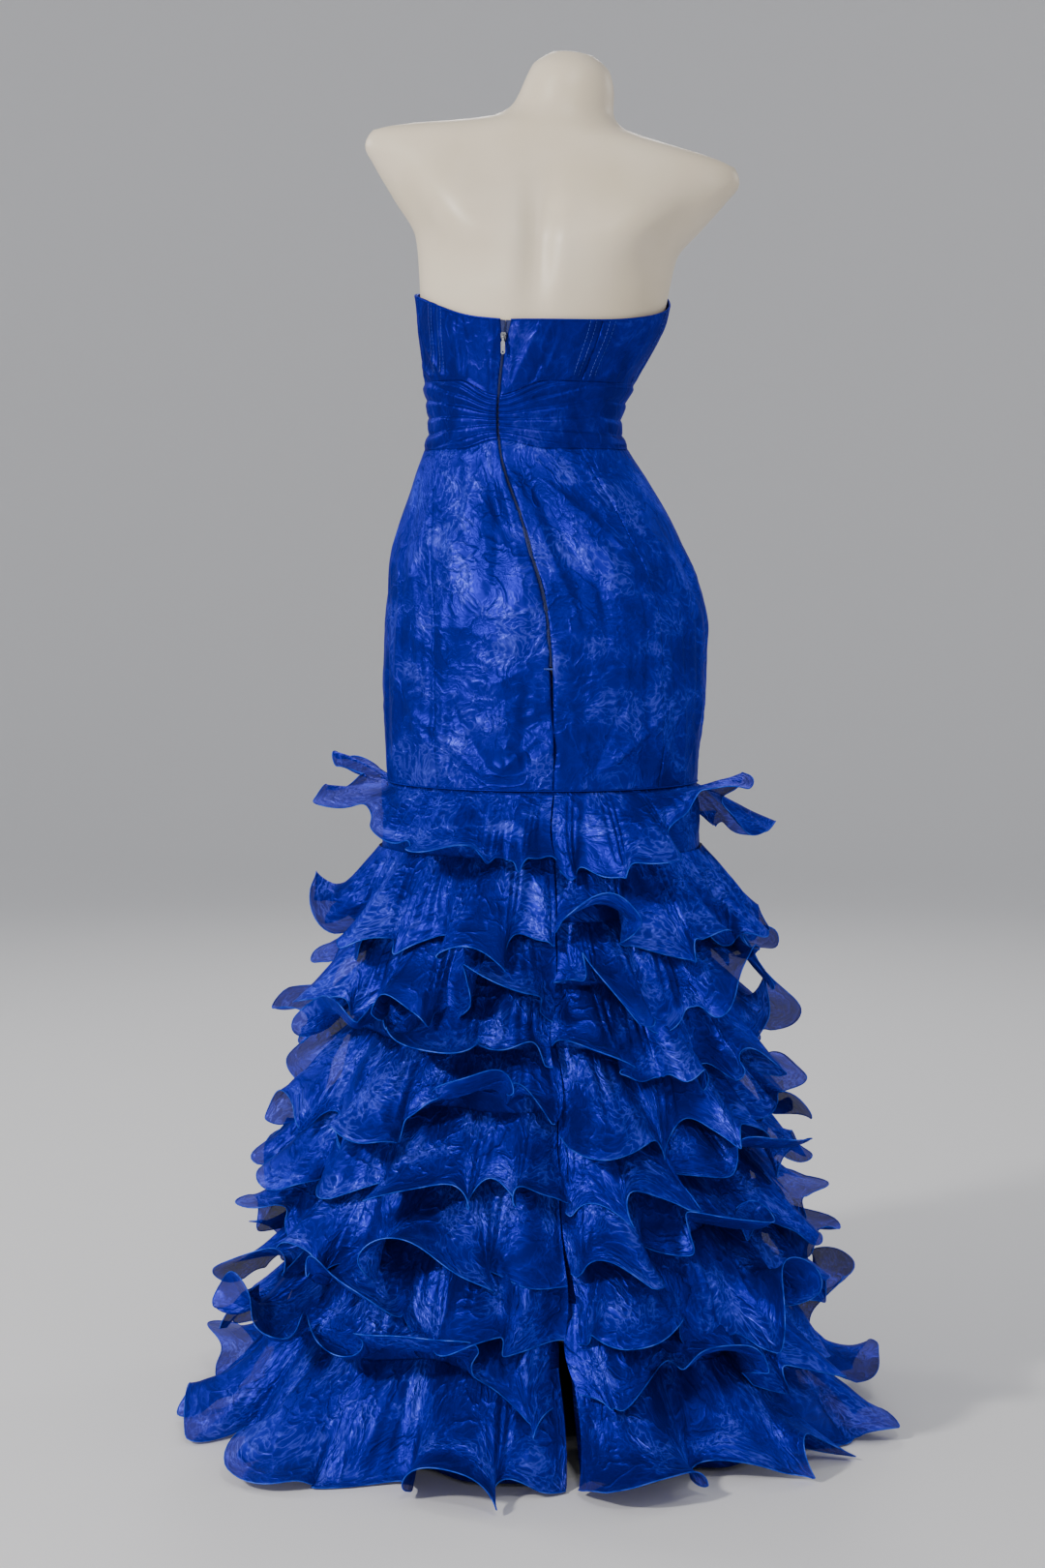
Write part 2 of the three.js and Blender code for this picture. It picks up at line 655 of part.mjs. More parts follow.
RUFFLES.forEach((ruffle, i) => {
  const outer = RUFFLE_PROFILE.map((step) => {
    const z = ruffle.seam - ruffle.drop * step.drop;
    return lowerCuts(0, 360, z, RUFFLE_END_GAP).map((cut) => rufflePoint(ruffle, step, cut, i === 0));
  });
  const name = `ruffle_${String(i + 1).padStart(2, '0')}`;
  addPiece(name, wallGeometry(outer, behind(outer, RUFFLE_WALL)), organzaEdge);
});

// The closed zip lies between the edges of the centre backs, up to the slider, and its rows are theirs.
const zipHigh = SLIDER.z - SLIDER.height / 2 - SEAM_GAP;
const zipLow = ZIP_LOW_Z + SEAM_GAP;
function zipHeights() {
  const edges = [
    ...BODICE_SHARES.map((share) => THREE.MathUtils.lerp(BACK_NECK_Z, waistHighAt(0), share)),
    ...PLEAT_ROWS.map((row) => THREE.MathUtils.lerp(waistHighAt(0), waistLowAt(0), row.share)),
    ...SKIRT_SHARES.map((share) => THREE.MathUtils.lerp(waistLowAt(0), KNEE_SEAM_Z, share)),
  ];
  const between = edges.filter((z, i) => z < zipHigh - 1 && z > zipLow + 1 && z !== edges[i - 1]);
  return [zipHigh, ...between, zipLow];
}

function zipGeometry() {
  const outer = [];
  const inner = [];
  for (const z of zipHeights()) {
    const turn = gapTurn(ZIP_WIDTH / 2, z);
    outer.push([-turn, turn].map((cut) => gownPoint(cut, z, -SEAM_GAP)));
    inner.push([-turn, turn].map((cut) => gownPoint(cut, z, SEAM_GAP - WALL)));
  }
  return wallGeometry(outer, inner);
}
addPiece('zip_chain', zipGeometry(), zipCord);

// Solid joins and cuts
const solids = await Module();
solids.setup();

function toSolid(geometry) {
  const bare = geometry.index ? geometry.toNonIndexed() : geometry.clone();
  for (const name of Object.keys(bare.attributes)) {
    if (name !== 'position') bare.deleteAttribute(name);
  }
  const merged = mergeVertices(bare, SAME_POINT);
  return new solids.Manifold(new solids.Mesh({
    numProp: 3,
    vertProperties: new Float32Array(merged.attributes.position.array),
    triVerts: new Uint32Array(merged.index.array),
  }));
}

function toGeometry(solid) {
  const mesh = solid.getMesh();
  const geometry = new THREE.BufferGeometry();
  geometry.setAttribute('position', new THREE.Float32BufferAttribute(mesh.vertProperties, 3));
  geometry.setIndex(new THREE.BufferAttribute(mesh.triVerts, 1));
  return geometry;
}

// The slider's own frame: it sits on the back, faces out from it and leans as the back does.
const sliderSeat = gownPoint(0, SLIDER.z, SLIDER.lift);
const sliderOut = new THREE.Vector3().subVectors(gownPoint(0, SLIDER.z, 1), gownPoint(0, SLIDER.z, 0));
const sliderTurn = -Math.atan2(sliderOut.x, sliderOut.y);
const halfHeight = SLIDER.height / 2;
const backRun = new THREE.Vector3().subVectors(
  gownPoint(0, SLIDER.z + halfHeight, 0),
  gownPoint(0, SLIDER.z - halfHeight, 0),
);
const backLean = Math.atan2(Math.hypot(backRun.x, backRun.y), backRun.z);

// Small metal pieces are drawn with x across, y up and z out, then stood on the back.
function standOnBack(geometry) {
  return geometry.rotateX(Math.PI / 2).rotateZ(Math.PI + sliderTurn).translate(...sliderSeat.toArray());
}

function barGeometry(radius, width, sides) {
  return new THREE.CylinderGeometry(radius, radius, width, sides).rotateZ(Math.PI / 2);
}

// The slider body tapers downwards, and two ears on it carry the bar of the pull.
const barOut = SLIDER.depth + EARS.out - BAR_RADIUS;
function sliderGeometry() {
  const outline = new THREE.Shape([
    new THREE.Vector2(-SLIDER.width / 2 + SLIDER.taper, -SLIDER.height / 2),
    new THREE.Vector2(SLIDER.width / 2 - SLIDER.taper, -SLIDER.height / 2),
    new THREE.Vector2(SLIDER.width / 2, 0),
    new THREE.Vector2(SLIDER.width / 2, SLIDER.height / 3),
    new THREE.Vector2(SLIDER.width / 3, SLIDER.height / 2),
    new THREE.Vector2(-SLIDER.width / 3, SLIDER.height / 2),
    new THREE.Vector2(-SLIDER.width / 2, SLIDER.height / 3),
    new THREE.Vector2(-SLIDER.width / 2, 0),
  ]);
  const body = new THREE.ExtrudeGeometry(outline, { depth: SLIDER.depth, bevelEnabled: false });
  let solid = toSolid(body);
  for (const side of [-1, 1]) {
    const ear = new THREE.BoxGeometry(EARS.wall, EARS.height, EARS.out + BAR_RADIUS + SLIDER.depth / 2);
    const earOut = (SLIDER.depth / 2 + barOut + 2 * BAR_RADIUS) / 2;
    ear.translate(side * (EARS.apart + EARS.wall) / 2, 0, earOut);
    solid = solid.add(toSolid(ear));
  }
  const bar = barGeometry(BAR_RADIUS, EARS.apart + EARS.wall, BAR_SIDES).translate(0, 0, barOut);
  return toGeometry(solid.add(toSolid(bar)));
}
addPiece('zip_slider', standOnBack(sliderGeometry().rotateX(backLean)), zipMetal);

// The pull hangs straight down from the bar by its ring.
function pullGeometry() {
  const ring = toSolid(barGeometry(PULL.outer, PULL.width, RING_SIDES));
  const bore = toSolid(barGeometry(PULL.inner, PULL.width * 2, RING_SIDES));
  const half = PULL.tab / 2;
  const outline = new THREE.Shape();
  outline.moveTo(-PULL.width / 2, -PULL.root);
  outline.lineTo(-PULL.width / 2, -PULL.neck);
  outline.lineTo(-half, -PULL.shoulder);
  outline.lineTo(-half, -PULL.length + half);
  outline.absarc(0, -PULL.length + half, half, Math.PI, 2 * Math.PI, false);
  outline.lineTo(half, -PULL.shoulder);
  outline.lineTo(PULL.width / 2, -PULL.neck);
  outline.lineTo(PULL.width / 2, -PULL.root);
  const hole = new THREE.Path();
  hole.absarc(0, -PULL.length + half, PULL.hole, 0, 2 * Math.PI, true);
  outline.holes.push(hole);
  const tab = new THREE.ExtrudeGeometry(outline, {
    depth: PULL.wall,
    bevelEnabled: false,
    curveSegments: PULL.roundSteps,
  });
  tab.translate(0, 0, -PULL.wall / 2);
  const solid = ring.add(toSolid(tab)).subtract(bore);
  return toGeometry(solid).translate(0, -barOut * Math.sin(backLean), barOut * Math.cos(backLean));
}
addPiece('zip_pull', standOnBack(pullGeometry()), zipMetal);

export default gown;
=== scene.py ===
import math

import bpy
import mathutils
import numpy as np
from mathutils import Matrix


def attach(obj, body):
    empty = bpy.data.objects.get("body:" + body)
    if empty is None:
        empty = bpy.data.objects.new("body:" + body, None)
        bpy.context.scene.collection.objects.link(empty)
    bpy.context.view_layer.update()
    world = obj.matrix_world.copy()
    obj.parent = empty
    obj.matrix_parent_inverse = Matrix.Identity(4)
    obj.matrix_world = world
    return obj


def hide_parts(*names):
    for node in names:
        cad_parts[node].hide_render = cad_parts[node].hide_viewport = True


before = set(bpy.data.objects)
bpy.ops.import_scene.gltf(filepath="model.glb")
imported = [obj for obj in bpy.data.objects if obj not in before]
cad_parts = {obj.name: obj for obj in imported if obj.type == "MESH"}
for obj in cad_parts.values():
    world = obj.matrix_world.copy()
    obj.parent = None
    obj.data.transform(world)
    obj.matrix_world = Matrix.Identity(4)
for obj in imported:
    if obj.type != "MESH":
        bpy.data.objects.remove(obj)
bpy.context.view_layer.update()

# The camera stands behind the gown and a little to the wearer's right, at half its height.
CAMERA_AZIMUTH = math.radians(185)
CAMERA_ELEVATION = math.radians(5)
CAMERA_DISTANCE = 3.2
LENS, SENSOR_HEIGHT = 64.7, 36
CAMERA_TARGET = np.array([0.0165, 0.0, 0.72])
direction = np.array([
    math.sin(CAMERA_AZIMUTH) * math.cos(CAMERA_ELEVATION),
    -math.cos(CAMERA_AZIMUTH) * math.cos(CAMERA_ELEVATION),
    math.sin(CAMERA_ELEVATION),
])


def placed(name, data):
    """A new object in the scene that shows this data."""
    thing = bpy.data.objects.new(name, data)
    bpy.context.scene.collection.objects.link(thing)
    return thing


camera_data = bpy.data.cameras.new("camera")
camera_data.lens = LENS
camera_data.sensor_fit = "VERTICAL"
camera_data.sensor_height = SENSOR_HEIGHT
camera = placed("camera", camera_data)
camera.location = CAMERA_TARGET + direction * CAMERA_DISTANCE
camera.rotation_euler = (math.pi / 2 - CAMERA_ELEVATION, 0, CAMERA_AZIMUTH)
bpy.context.scene.camera = camera

# The stage is a pale studio floor that curves up into a wall all round, so no horizon shows.
STAGE_FLAT, STAGE_CURVE, STAGE_TOP = 4.6, 2.4, 6.0
STAGE_AROUND = 96
bend = np.linspace(0, math.pi / 2, 13)
profile = np.stack([STAGE_FLAT + STAGE_CURVE * np.sin(bend), STAGE_CURVE * (1 - np.cos(bend))], -1)
profile = np.vstack([(0.01, 0), (2.0, 0), profile, (STAGE_FLAT + STAGE_CURVE, STAGE_TOP)])
turn = np.linspace(0, 2 * math.pi, STAGE_AROUND, endpoint=False)
stage_points = [(r * math.cos(a), r * math.sin(a), z) for r, z in profile for a in turn]
stage_faces = [tuple(range(STAGE_AROUND))]
for i in range(len(profile) - 1):
    for j in range(STAGE_AROUND):
        near, far, after = i * STAGE_AROUND, (i + 1) * STAGE_AROUND, (j + 1) % STAGE_AROUND
        stage_faces.append((near + j, near + after, far + after, far + j))
stage_mesh = bpy.data.meshes.new("studio")
stage_mesh.from_pydata(stage_points, [], stage_faces, shade_flat=False)
stage = placed("studio", stage_mesh)
stage_paint = bpy.data.materials.new("stage_paint")
stage_paint.use_nodes = True
stage_shader = stage_paint.node_tree.nodes["Principled BSDF"]
stage_shader.inputs["Base Color"].default_value = (0.84, 0.84, 0.85, 1)
stage_shader.inputs["Roughness"].default_value = 0.85
stage_shader.inputs["Specular IOR Level"].default_value = 0.1
stage_mesh.materials.append(stage_paint)

world = bpy.data.worlds.new("studio")
world.use_nodes = True
world.node_tree.nodes["Background"].inputs["Color"].default_value = (0.9, 0.93, 1, 1)
world.node_tree.nodes["Background"].inputs["Strength"].default_value = 0.4
bpy.context.scene.world = world

# Rectangular lamps, each turned to what it lights.
for name, place, aim, size, power, color in (
    ("key", (2.3, 2.8, 2.5), (0, 0, 0.85), (0.35, 0.35), 112, (1, 0.97, 0.92)),
    ("top_key", (-0.7, 2.6, 3.0), (0, 0, 0.6), (0.4, 0.4), 20, (1, 0.98, 0.95)),
    ("fill", (-3.0, 1.2, 1.3), (0, 0, 0.6), (1.6, 1.6), 4, (0.92, 0.95, 1)),
    ("left_rim", (2.8, -1.4, 2.3), (0, 0, 0.7), (0.7, 0.7), 20, (1, 0.98, 0.96)),
    ("right_rim", (-2.6, -1.8, 2.3), (0, 0, 0.7), (0.7, 0.7), 10, (1, 0.98, 0.96)),
    ("front", (0.2, -3.4, 2.8), (0, 0, 0.9), (1.0, 1.0), 30, (1, 0.98, 0.96)),
):
    data = bpy.data.lights.new(name, "AREA")
    data.shape = "RECTANGLE"
    data.size, data.size_y = size
    data.energy = power
    data.color = color
    lamp = placed(name, data)
    lamp.location = place
    away = mathutils.Vector(place) - mathutils.Vector(aim)
    lamp.rotation_euler = away.to_track_quat("Z", "Y").to_euler()

# The dress form: a hollow moulded torso with no head or arms, covered smooth and cream white, that
# leans a little to the wearer's right. It is turned from sections, as the cloth over it is.
MM = 0.001


def columns(names, rows):
    """A table with named columns, one row for each section or fold."""
    return dict(zip(names.split(), np.array(rows, float).T))


def rows_of(table):
    """The rows of a table, one at a time."""
    return zip(*table.values())


def read(table, name, at, key="z"):
    """One column of a table at these heights, on a smooth curve that never overshoots its rows."""
    x, y = table[key], table[name]
    at = np.clip(np.asarray(at, float), x[0], x[-1])
    width = np.diff(x)
    slope = np.diff(y) / width
    tangent = np.zeros(len(x))
    tangent[0], tangent[-1] = slope[0], slope[-1]
    below, above = slope[:-1], slope[1:]
    same = below * above > 0
    tangent[1:-1][same] = 2 * (below * above)[same] / (below + above)[same]
    i = np.clip(np.searchsorted(x, at, side="right") - 1, 0, len(x) - 2)
    t = (at - x[i]) / width[i]
    curve = y[i] + (y[i + 1] - y[i]) * (3 - 2 * t) * t * t
    return curve + tangent[i] * width[i] * t * (1 - t) ** 2 + tangent[i + 1] * width[i] * t * t * (t - 1)


FORM = columns("z side back front", [
    (700, 150, 96, 95), (800, 164, 114, 102), (896, 169, 124, 106), (980, 156, 113, 104),
    (1060, 124, 92, 97), (1124, 104, 80, 89), (1180, 117, 86, 96), (1234, 134, 94, 104),
    (1275, 139, 99, 106), (1320, 146, 100, 100), (1357, 172, 90, 90), (1390, 196, 77, 78),
    (1412, 209, 68, 69), (1428, 203, 62, 63), (1438, 172, 59, 60), (1446, 126, 57, 58),
    (1457, 74, 53, 54), (1472, 56, 49, 50), (1500, 49, 46, 46), (1518, 42, 40, 40), (1529, 28, 27, 27),
])
FORM_TOP = 1534
LEAN = columns("z shift tip", [
    (0, 6, 0), (725, -6, 0), (896, -9, 0), (1010, 0, 0), (1124, 14, 0), (1250, -5, 3.5),
    (1424, -17, 6.5), (1500, -36, 6.5), (1534, -40, 6.5),
])
CUP = {"z": 1246, "height": 62, "angle": 148, "width": 32, "depth": 16, "form_depth": 9}
BLADES = {"z": 1352, "height": 78, "angle": 36, "width": 26, "depth": 12}
SPINE = {"z": 1325, "height": 125, "width": 12, "depth": 13}


def hump(distance, width):
    """1 at the middle, and softly down to 0 one width away."""
    return 0.5 + 0.5 * np.cos(np.pi * np.minimum(np.abs(distance) / width, 1))


def line(distance, width):
    """1 on a line, and softly down to 0 on both sides of it."""
    return np.exp(-((distance / width) ** 2))


def turn_between(a, b):
    """The shorter way round from b to a, in degrees."""
    return (a - b + 180) % 360 - 180


def lean(x, y, z):
    """Shifts and tips points as the whole figure leans."""
    return x + read(LEAN, "shift", z), y, z + x * np.tan(np.radians(read(LEAN, "tip", z)))


def oval(section, angle, z, out):
    """Points of an oval section, moved out square to it by a distance. Sizes are in millimetres."""
    side, back, front, power = section
    s, c = np.sin(np.radians(angle)), np.cos(np.radians(angle))
    depth = np.where(c >= 0, back, front)
    scale = (np.abs(s) ** power + np.abs(c) ** power) ** (-1 / power)
    x, y = side * s * scale, depth * c * scale
    nx = np.sign(s) * np.abs(x / side) ** (power - 1) / side
    ny = np.sign(c) * np.abs(y / depth) ** (power - 1) / depth
    length = np.hypot(nx, ny)
    return lean(x + out * nx / length, y + out * ny / length, z)


def pair(shape, angle, z):
    """A soft mound at both sides of the back line, from 0 to 1."""
    across = hump(np.abs(turn_between(angle, 0)) - shape["angle"], shape["width"])
    return across * hump(z - shape["z"], shape["height"])


def mesh_piece(name, points, faces, material, uv=None):
    """A smooth mesh piece in metres from points in millimetres, with uv in metres of cloth."""
    mesh = bpy.data.meshes.new(name)
    mesh.from_pydata((np.asarray(points) * MM).tolist(), [], faces, shade_flat=False)
    if uv is not None:
        layer = mesh.uv_layers.new(name="cloth")
        layer.data.foreach_set("uv", uv[np.ravel(faces)].astype(np.float32).ravel())
    mesh.materials.append(material)
    return placed(name, mesh)


def grid_faces(rows, count, closed=False):
    """Faces of a grid whose rows run down and columns run towards the wearer's left, facing out."""
    r, c = np.meshgrid(np.arange(rows - 1), np.arange(count if closed else count - 1), indexing="ij")
    after = (c + 1) % count
    corners = (r * count + c, r * count + after, (r + 1) * count + after, (r + 1) * count + c)
    return np.stack(corners, -1).reshape(-1, 4)


def material_with(name, color, roughness, **sockets):
    """A new node material. Values that are the same all over go on the shader's own sockets."""
    material = bpy.data.materials.new(name)
    material.use_nodes = True
    shader = material.node_tree.nodes["Principled BSDF"]
    shader.inputs["Base Color"].default_value = (*color, 1)
    shader.inputs["Roughness"].default_value = roughness
    for socket, value in sockets.items():
        shader.inputs[socket.replace("_", " ")].default_value = value
    return material, material.node_tree, shader


def add_node(tree, kind, **inputs):
    """A node with inputs set by socket name, or by number as n0, n1, and linked where one is a socket."""
    node = tree.nodes.new(kind)
    for key, value in inputs.items():
        numbered = key[0] == "n" and key[1:].isdigit()
        socket = node.inputs[int(key[1:]) if numbered else key.replace("_", " ")]
        if isinstance(value, bpy.types.NodeSocket):
            tree.links.new(value, socket)
        else:
            socket.default_value = value
    return node


def ramp(tree, source, stops):
    """A colour ramp on a source, with (place, colour) stops."""
    node = add_node(tree, "ShaderNodeValToRGB", Fac=source)
    elements = node.color_ramp.elements
    while len(elements) < len(stops):
        elements.new(0.5)
    for element, (place, color) in zip(elements, stops):
        element.position = place
        element.color = (*color, 1)
    return node.outputs["Color"]


def soft_noise(tree, scale, detail):
    """Noise in a piece's own space, for its colour, wear or grain."""
    where = tree.nodes.new("ShaderNodeTexCoord").outputs["Object"]
    return add_node(tree, "ShaderNodeTexNoise", Vector=where, Scale=scale, Detail=detail).outputs["Fac"]


def mottled(tree, shader, noise, stops):
    """Colour that shifts over a piece with this noise."""
    tree.links.new(ramp(tree, noise, stops), shader.inputs["Base Color"])


def worn(tree, shader, noise, low, high):
    """Roughness that goes from low to high over a piece with this noise."""
    rough = add_node(tree, "ShaderNodeMapRange", Value=noise, To_Min=low, To_Max=high)
    tree.links.new(rough.outputs["Result"], shader.inputs["Roughness"])


def grained(tree, shader, noise, strength, depth):
    """A fine grain on a piece, as deep as this in metres."""
    bump = add_node(tree, "ShaderNodeBump", Height=noise, Strength=strength, Distance=depth)
    tree.links.new(bump.outputs["Normal"], shader.inputs["Normal"])


form_cover, tree, shader = material_with(
    "form_cover", (0.86, 0.79, 0.66), 0.42, Specular_IOR_Level=0.45, Coat_Weight=0.15, Coat_Roughness=0.35)
mottled(tree, shader, soft_noise(tree, 7, 3), [
    (0.3, (0.74, 0.63, 0.46)), (0.55, (0.82, 0.71, 0.55)), (0.8, (0.85, 0.76, 0.61))])
worn(tree, shader, soft_noise(tree, 60, 4), 0.36, 0.5)
grained(tree, shader, soft_noise(tree, 900, 2), 0.12, 0.0004)

FORM_AROUND = 128
FORM_ROWS = 150
FORM_UNDERSIDE = 0.97
DOME_SHARES = (0.86, 0.6, 0.3)
heights = np.concatenate([np.linspace(FORM["z"][-1], FORM["z"][0], FORM_ROWS), [FORM["z"][0]]])
angle, z = np.meshgrid(np.arange(FORM_AROUND) * 360 / FORM_AROUND, heights)
section = (read(FORM, "side", z), read(FORM, "back", z), read(FORM, "front", z), 2)
blades = BLADES["depth"] * pair(BLADES, angle, z)
spine = hump(turn_between(angle, 0), SPINE["width"]) * hump(z - SPINE["z"], SPINE["height"])
x, y, z = oval(section, angle, z, CUP["form_depth"] * pair(CUP, angle, z) + blades - SPINE["depth"] * spine)
points = np.stack([x, y, z], -1).reshape(-1, 3)
points[-FORM_AROUND:] = points[-FORM_AROUND:] * (FORM_UNDERSIDE, FORM_UNDERSIDE, 1)
dome = []
neck = points[:FORM_AROUND]
for share in DOME_SHARES:
    ring = neck.mean(0) + (neck - neck.mean(0)) * share
    ring[:, 2] += (FORM_TOP - FORM["z"][-1]) * math.sqrt(1 - share * share)
    dome.append(ring)
rings = np.concatenate(dome[::-1] + [points])
faces = grid_faces(len(rings) // FORM_AROUND, FORM_AROUND, closed=True).tolist()
top = rings[:FORM_AROUND].mean(0) + (0, 0, 0.3)
bottom = rings[-FORM_AROUND:].mean(0)
first, last, low = len(rings), len(rings) + 1, len(rings) - FORM_AROUND
for a in range(FORM_AROUND):
    b = (a + 1) % FORM_AROUND
    faces += [(first, b, a), (last, low + a, low + b)]
form = mesh_piece("dress_form", np.vstack([rings, top, bottom]), faces, form_cover)
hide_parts("form_torso")
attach(form, "gown")

# The stand: a steel pole with a collar under the form, and a round spun foot, both painted off-white.
# The gown hides it. The solids are shown as they are, in this paint.
stand_paint, tree, shader = material_with(
    "stand_paint", (0.62, 0.61, 0.57), 0.36, Metallic=0.25, Coat_Weight=0.3, Coat_Roughness=0.2)
specks = soft_noise(tree, 40, 5)
mottled(tree, shader, specks, [(0.35, (0.55, 0.54, 0.5)), (0.6, (0.64, 0.63, 0.59))])
grained(tree, shader, specks, 0.1, 0.0005)
for node in ("stand_pole", "stand_foot"):
    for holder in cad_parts[node].material_slots:
        holder.material = stand_paint

# The fitted part of the gown: blue organza over satin, cut in panels from the neckline to the knee
# seam and sewn edge to edge. It is pinched together at the back of the waist, so folds run to there.
GOWN = columns("z side back front", [
    (725, 175, 150, 135), (786, 179, 149, 134), (841, 181, 148, 133), (896, 180, 146, 130),
    (950, 172, 137, 124), (1015, 151, 114, 113), (1060, 132, 98, 103), (1124, 107, 83, 92),
    (1180, 120, 88.4, 99.2), (1234, 137.2, 96.6, 107.4), (1275, 142.4, 101.6, 109.4),
    (1320, 149.4, 102.6, 103.4),
])
CENTRE_BACK = columns("z turn", [(0, -12), (725, -8), (900, -5), (1000, 1), (1124, 12), (1234, 12.5)])
NECKLINE = columns("angle z", [(0, 1234), (45, 1240), (92, 1262), (125, 1288), (150, 1298), (180, 1282)])
NECK_LEFT = {"angle": 56, "width": 48, "rise": 11}
KNEE_SEAM = 725
WAIST_LOW, WAIST_HIGH = 1096, 1170
PINCH = {"angle": 26, "low": 10, "high": 16}
BACK_NECK = 1234
SEAM_GAP = 0.08
ZIP = {"low": 860, "width": 2.4, "mouth": 1206, "open": 5}
CLOTH = 0.5


def figure_angle(cut, z):
    """The centre-back line wanders over the figure, and the centre front keeps its place."""
    return cut + read(CENTRE_BACK, "turn", z) * np.cos(np.radians(cut) / 2) ** 2


def gown_points(cut, z, out):
    """Points of the fitted gown at cut angles and heights, moved out by a distance."""
    angle = figure_angle(cut, z)
    section = (read(GOWN, "side", z), read(GOWN, "back", z), read(GOWN, "front", z), 2)
    return np.stack(oval(section, angle, z, out + CUP["depth"] * pair(CUP, angle, z)), -1)


def neckline(cut):
    """The neckline dips at the centre back and stands a little higher at the wearer's left."""
    left = NECK_LEFT["rise"] * hump(turn_between(cut, NECK_LEFT["angle"]), NECK_LEFT["width"])
    return read(NECKLINE, "z", np.abs(turn_between(cut, 0)), "angle") + left


def waist_high(cut):
    """The top of the waist band, drawn down to the pinch."""
    return WAIST_HIGH - PINCH["high"] * hump(turn_between(cut, 0), PINCH["angle"])


def waist_low(cut):
    """The bottom of the waist band, drawn up to the pinch."""
    return WAIST_LOW + PINCH["low"] * hump(turn_between(cut, 0), PINCH["angle"])


def knee(cut):
    return KNEE_SEAM + 0 * cut


def edge_turn(cut, z):
    """Half the gap to the next panel in degrees: a seam, or the zip and its open mouth at centre back."""
    half = np.full(np.shape(z), SEAM_GAP / 2)
    if cut % 360 == 0:
        half = np.interp(z, [ZIP["low"] - 45, ZIP["low"]], [SEAM_GAP / 2, ZIP["width"] / 2 + SEAM_GAP])
        half = half + ZIP["open"] * np.clip((z - ZIP["mouth"]) / (BACK_NECK - ZIP["mouth"]), 0, 1)
    return np.degrees(half / read(GOWN, "side", z))


LATTICE = np.random.default_rng(7).random((8, 128, 128))


def crinkle_noise(u, v, layer):
    """Soft noise from 0 to 1 on a lattice that repeats every 128 cells."""
    u, v = np.broadcast_arrays(u, v)
    i, j = np.floor(u).astype(int), np.floor(v).astype(int)
    a, b = u - i, v - j
    a, b = a * a * (3 - 2 * a), b * b * (3 - 2 * b)
    cells = LATTICE[layer]
    i0, i1, j0, j1 = i % 128, (i + 1) % 128, j % 128, (j + 1) % 128
    near = cells[i0, j0] * (1 - a) + cells[i1, j0] * a
    far = cells[i0, j1] * (1 - a) + cells[i1, j1] * a
    return near * (1 - b) + far * b


def crush(u, v, size, layer):
    """The crinkles of crushed organza from -1 to 1: flat facets with crisp creases between them."""
    u, v = (u + 0.5 * v) / size, (v - 0.5 * u) / (size * 1.3)
    bend = crinkle_noise(0.8 * u, 0.8 * v, layer + 1), crinkle_noise(0.8 * u, 0.8 * v, layer + 2)
    u, v = u + 1.4 * bend[0], v + 1.4 * bend[1]
    i, j = np.floor(u).astype(int), np.floor(v).astype(int)
    a, b = u - i, v - j
    cells = LATTICE[layer]
    i0, i1, j0, j1 = i % 128, (i + 1) % 128, j % 128, (j + 1) % 128
    near, far = cells[i0, j0], cells[i1, j1]
    low = near + (cells[i1, j0] - near) * a + (far - cells[i1, j0]) * b
    high = near + (cells[i0, j1] - near) * b + (far - cells[i0, j1]) * a
    return 2 * np.where(a > b, low, high) - 1


def folds(table, cut, z):
    """The height of listed folds, each a soft ridge or trough from one point to another."""
    arc = np.radians(read(GOWN, "side", z)) * turn_between(cut, 0)
    total = 0 * arc
    for c0, z0, c1, z1, width, depth in rows_of(table):
        start = np.array((np.radians(c0) * read(GOWN, "side", z0), z0))
        along = np.array((np.radians(c1) * read(GOWN, "side", z1), z1)) - start
        length = np.hypot(*along)
        t = ((arc - start[0]) * along[0] + (z - start[1]) * along[1]) / length ** 2
        off = np.abs((arc - start[0]) * along[1] - (z - start[1]) * along[0]) / length
        t_in = np.clip(t, 0, 1)
        past = np.abs(t - t_in) * length
        taper = np.sin(np.pi * np.clip(0.08 + 0.84 * t_in, 0, 1)) ** 0.6
        total = total + depth * taper * np.exp(-((off / width) ** 1.15) - (past / (1.5 * width)) ** 2)
    return total


def shell(name, outer, inner, uv, material):
    """A thin closed shell of cloth from an outer and an inner grid of points."""
    rows, count = outer.shape[:2]
    faces = grid_faces(rows, count)
    back = (faces + rows * count)[:, ::-1]
    top, bottom = np.arange(count), np.arange(count) + (rows - 1) * count
    left, right = np.arange(rows) * count, np.arange(rows) * count + count - 1
    rim = []
    for edge, turned in ((top, True), (bottom, False), (left, False), (right, True)):
        a, b = edge[:-1], edge[1:]
        quad = np.stack((a, b, b + rows * count, a + rows * count), -1)
        rim.append(quad[:, ::-1] if turned else quad)
    points = np.concatenate([outer.reshape(-1, 3), inner.reshape(-1, 3)])
    uvs = np.concatenate([uv.reshape(-1, 2)] * 2)
    return mesh_piece(name, points, np.concatenate([faces, back] + rim), material, uvs)


# A panel has a column of points for each degree. A cut angle times a radius is a length of cloth, for the
# pattern and for the facets.
PANEL_STEP = 1.0
CUT_RADIUS = {"pattern": 160, "bodice": 125, "waist": 110, "skirt": 165}


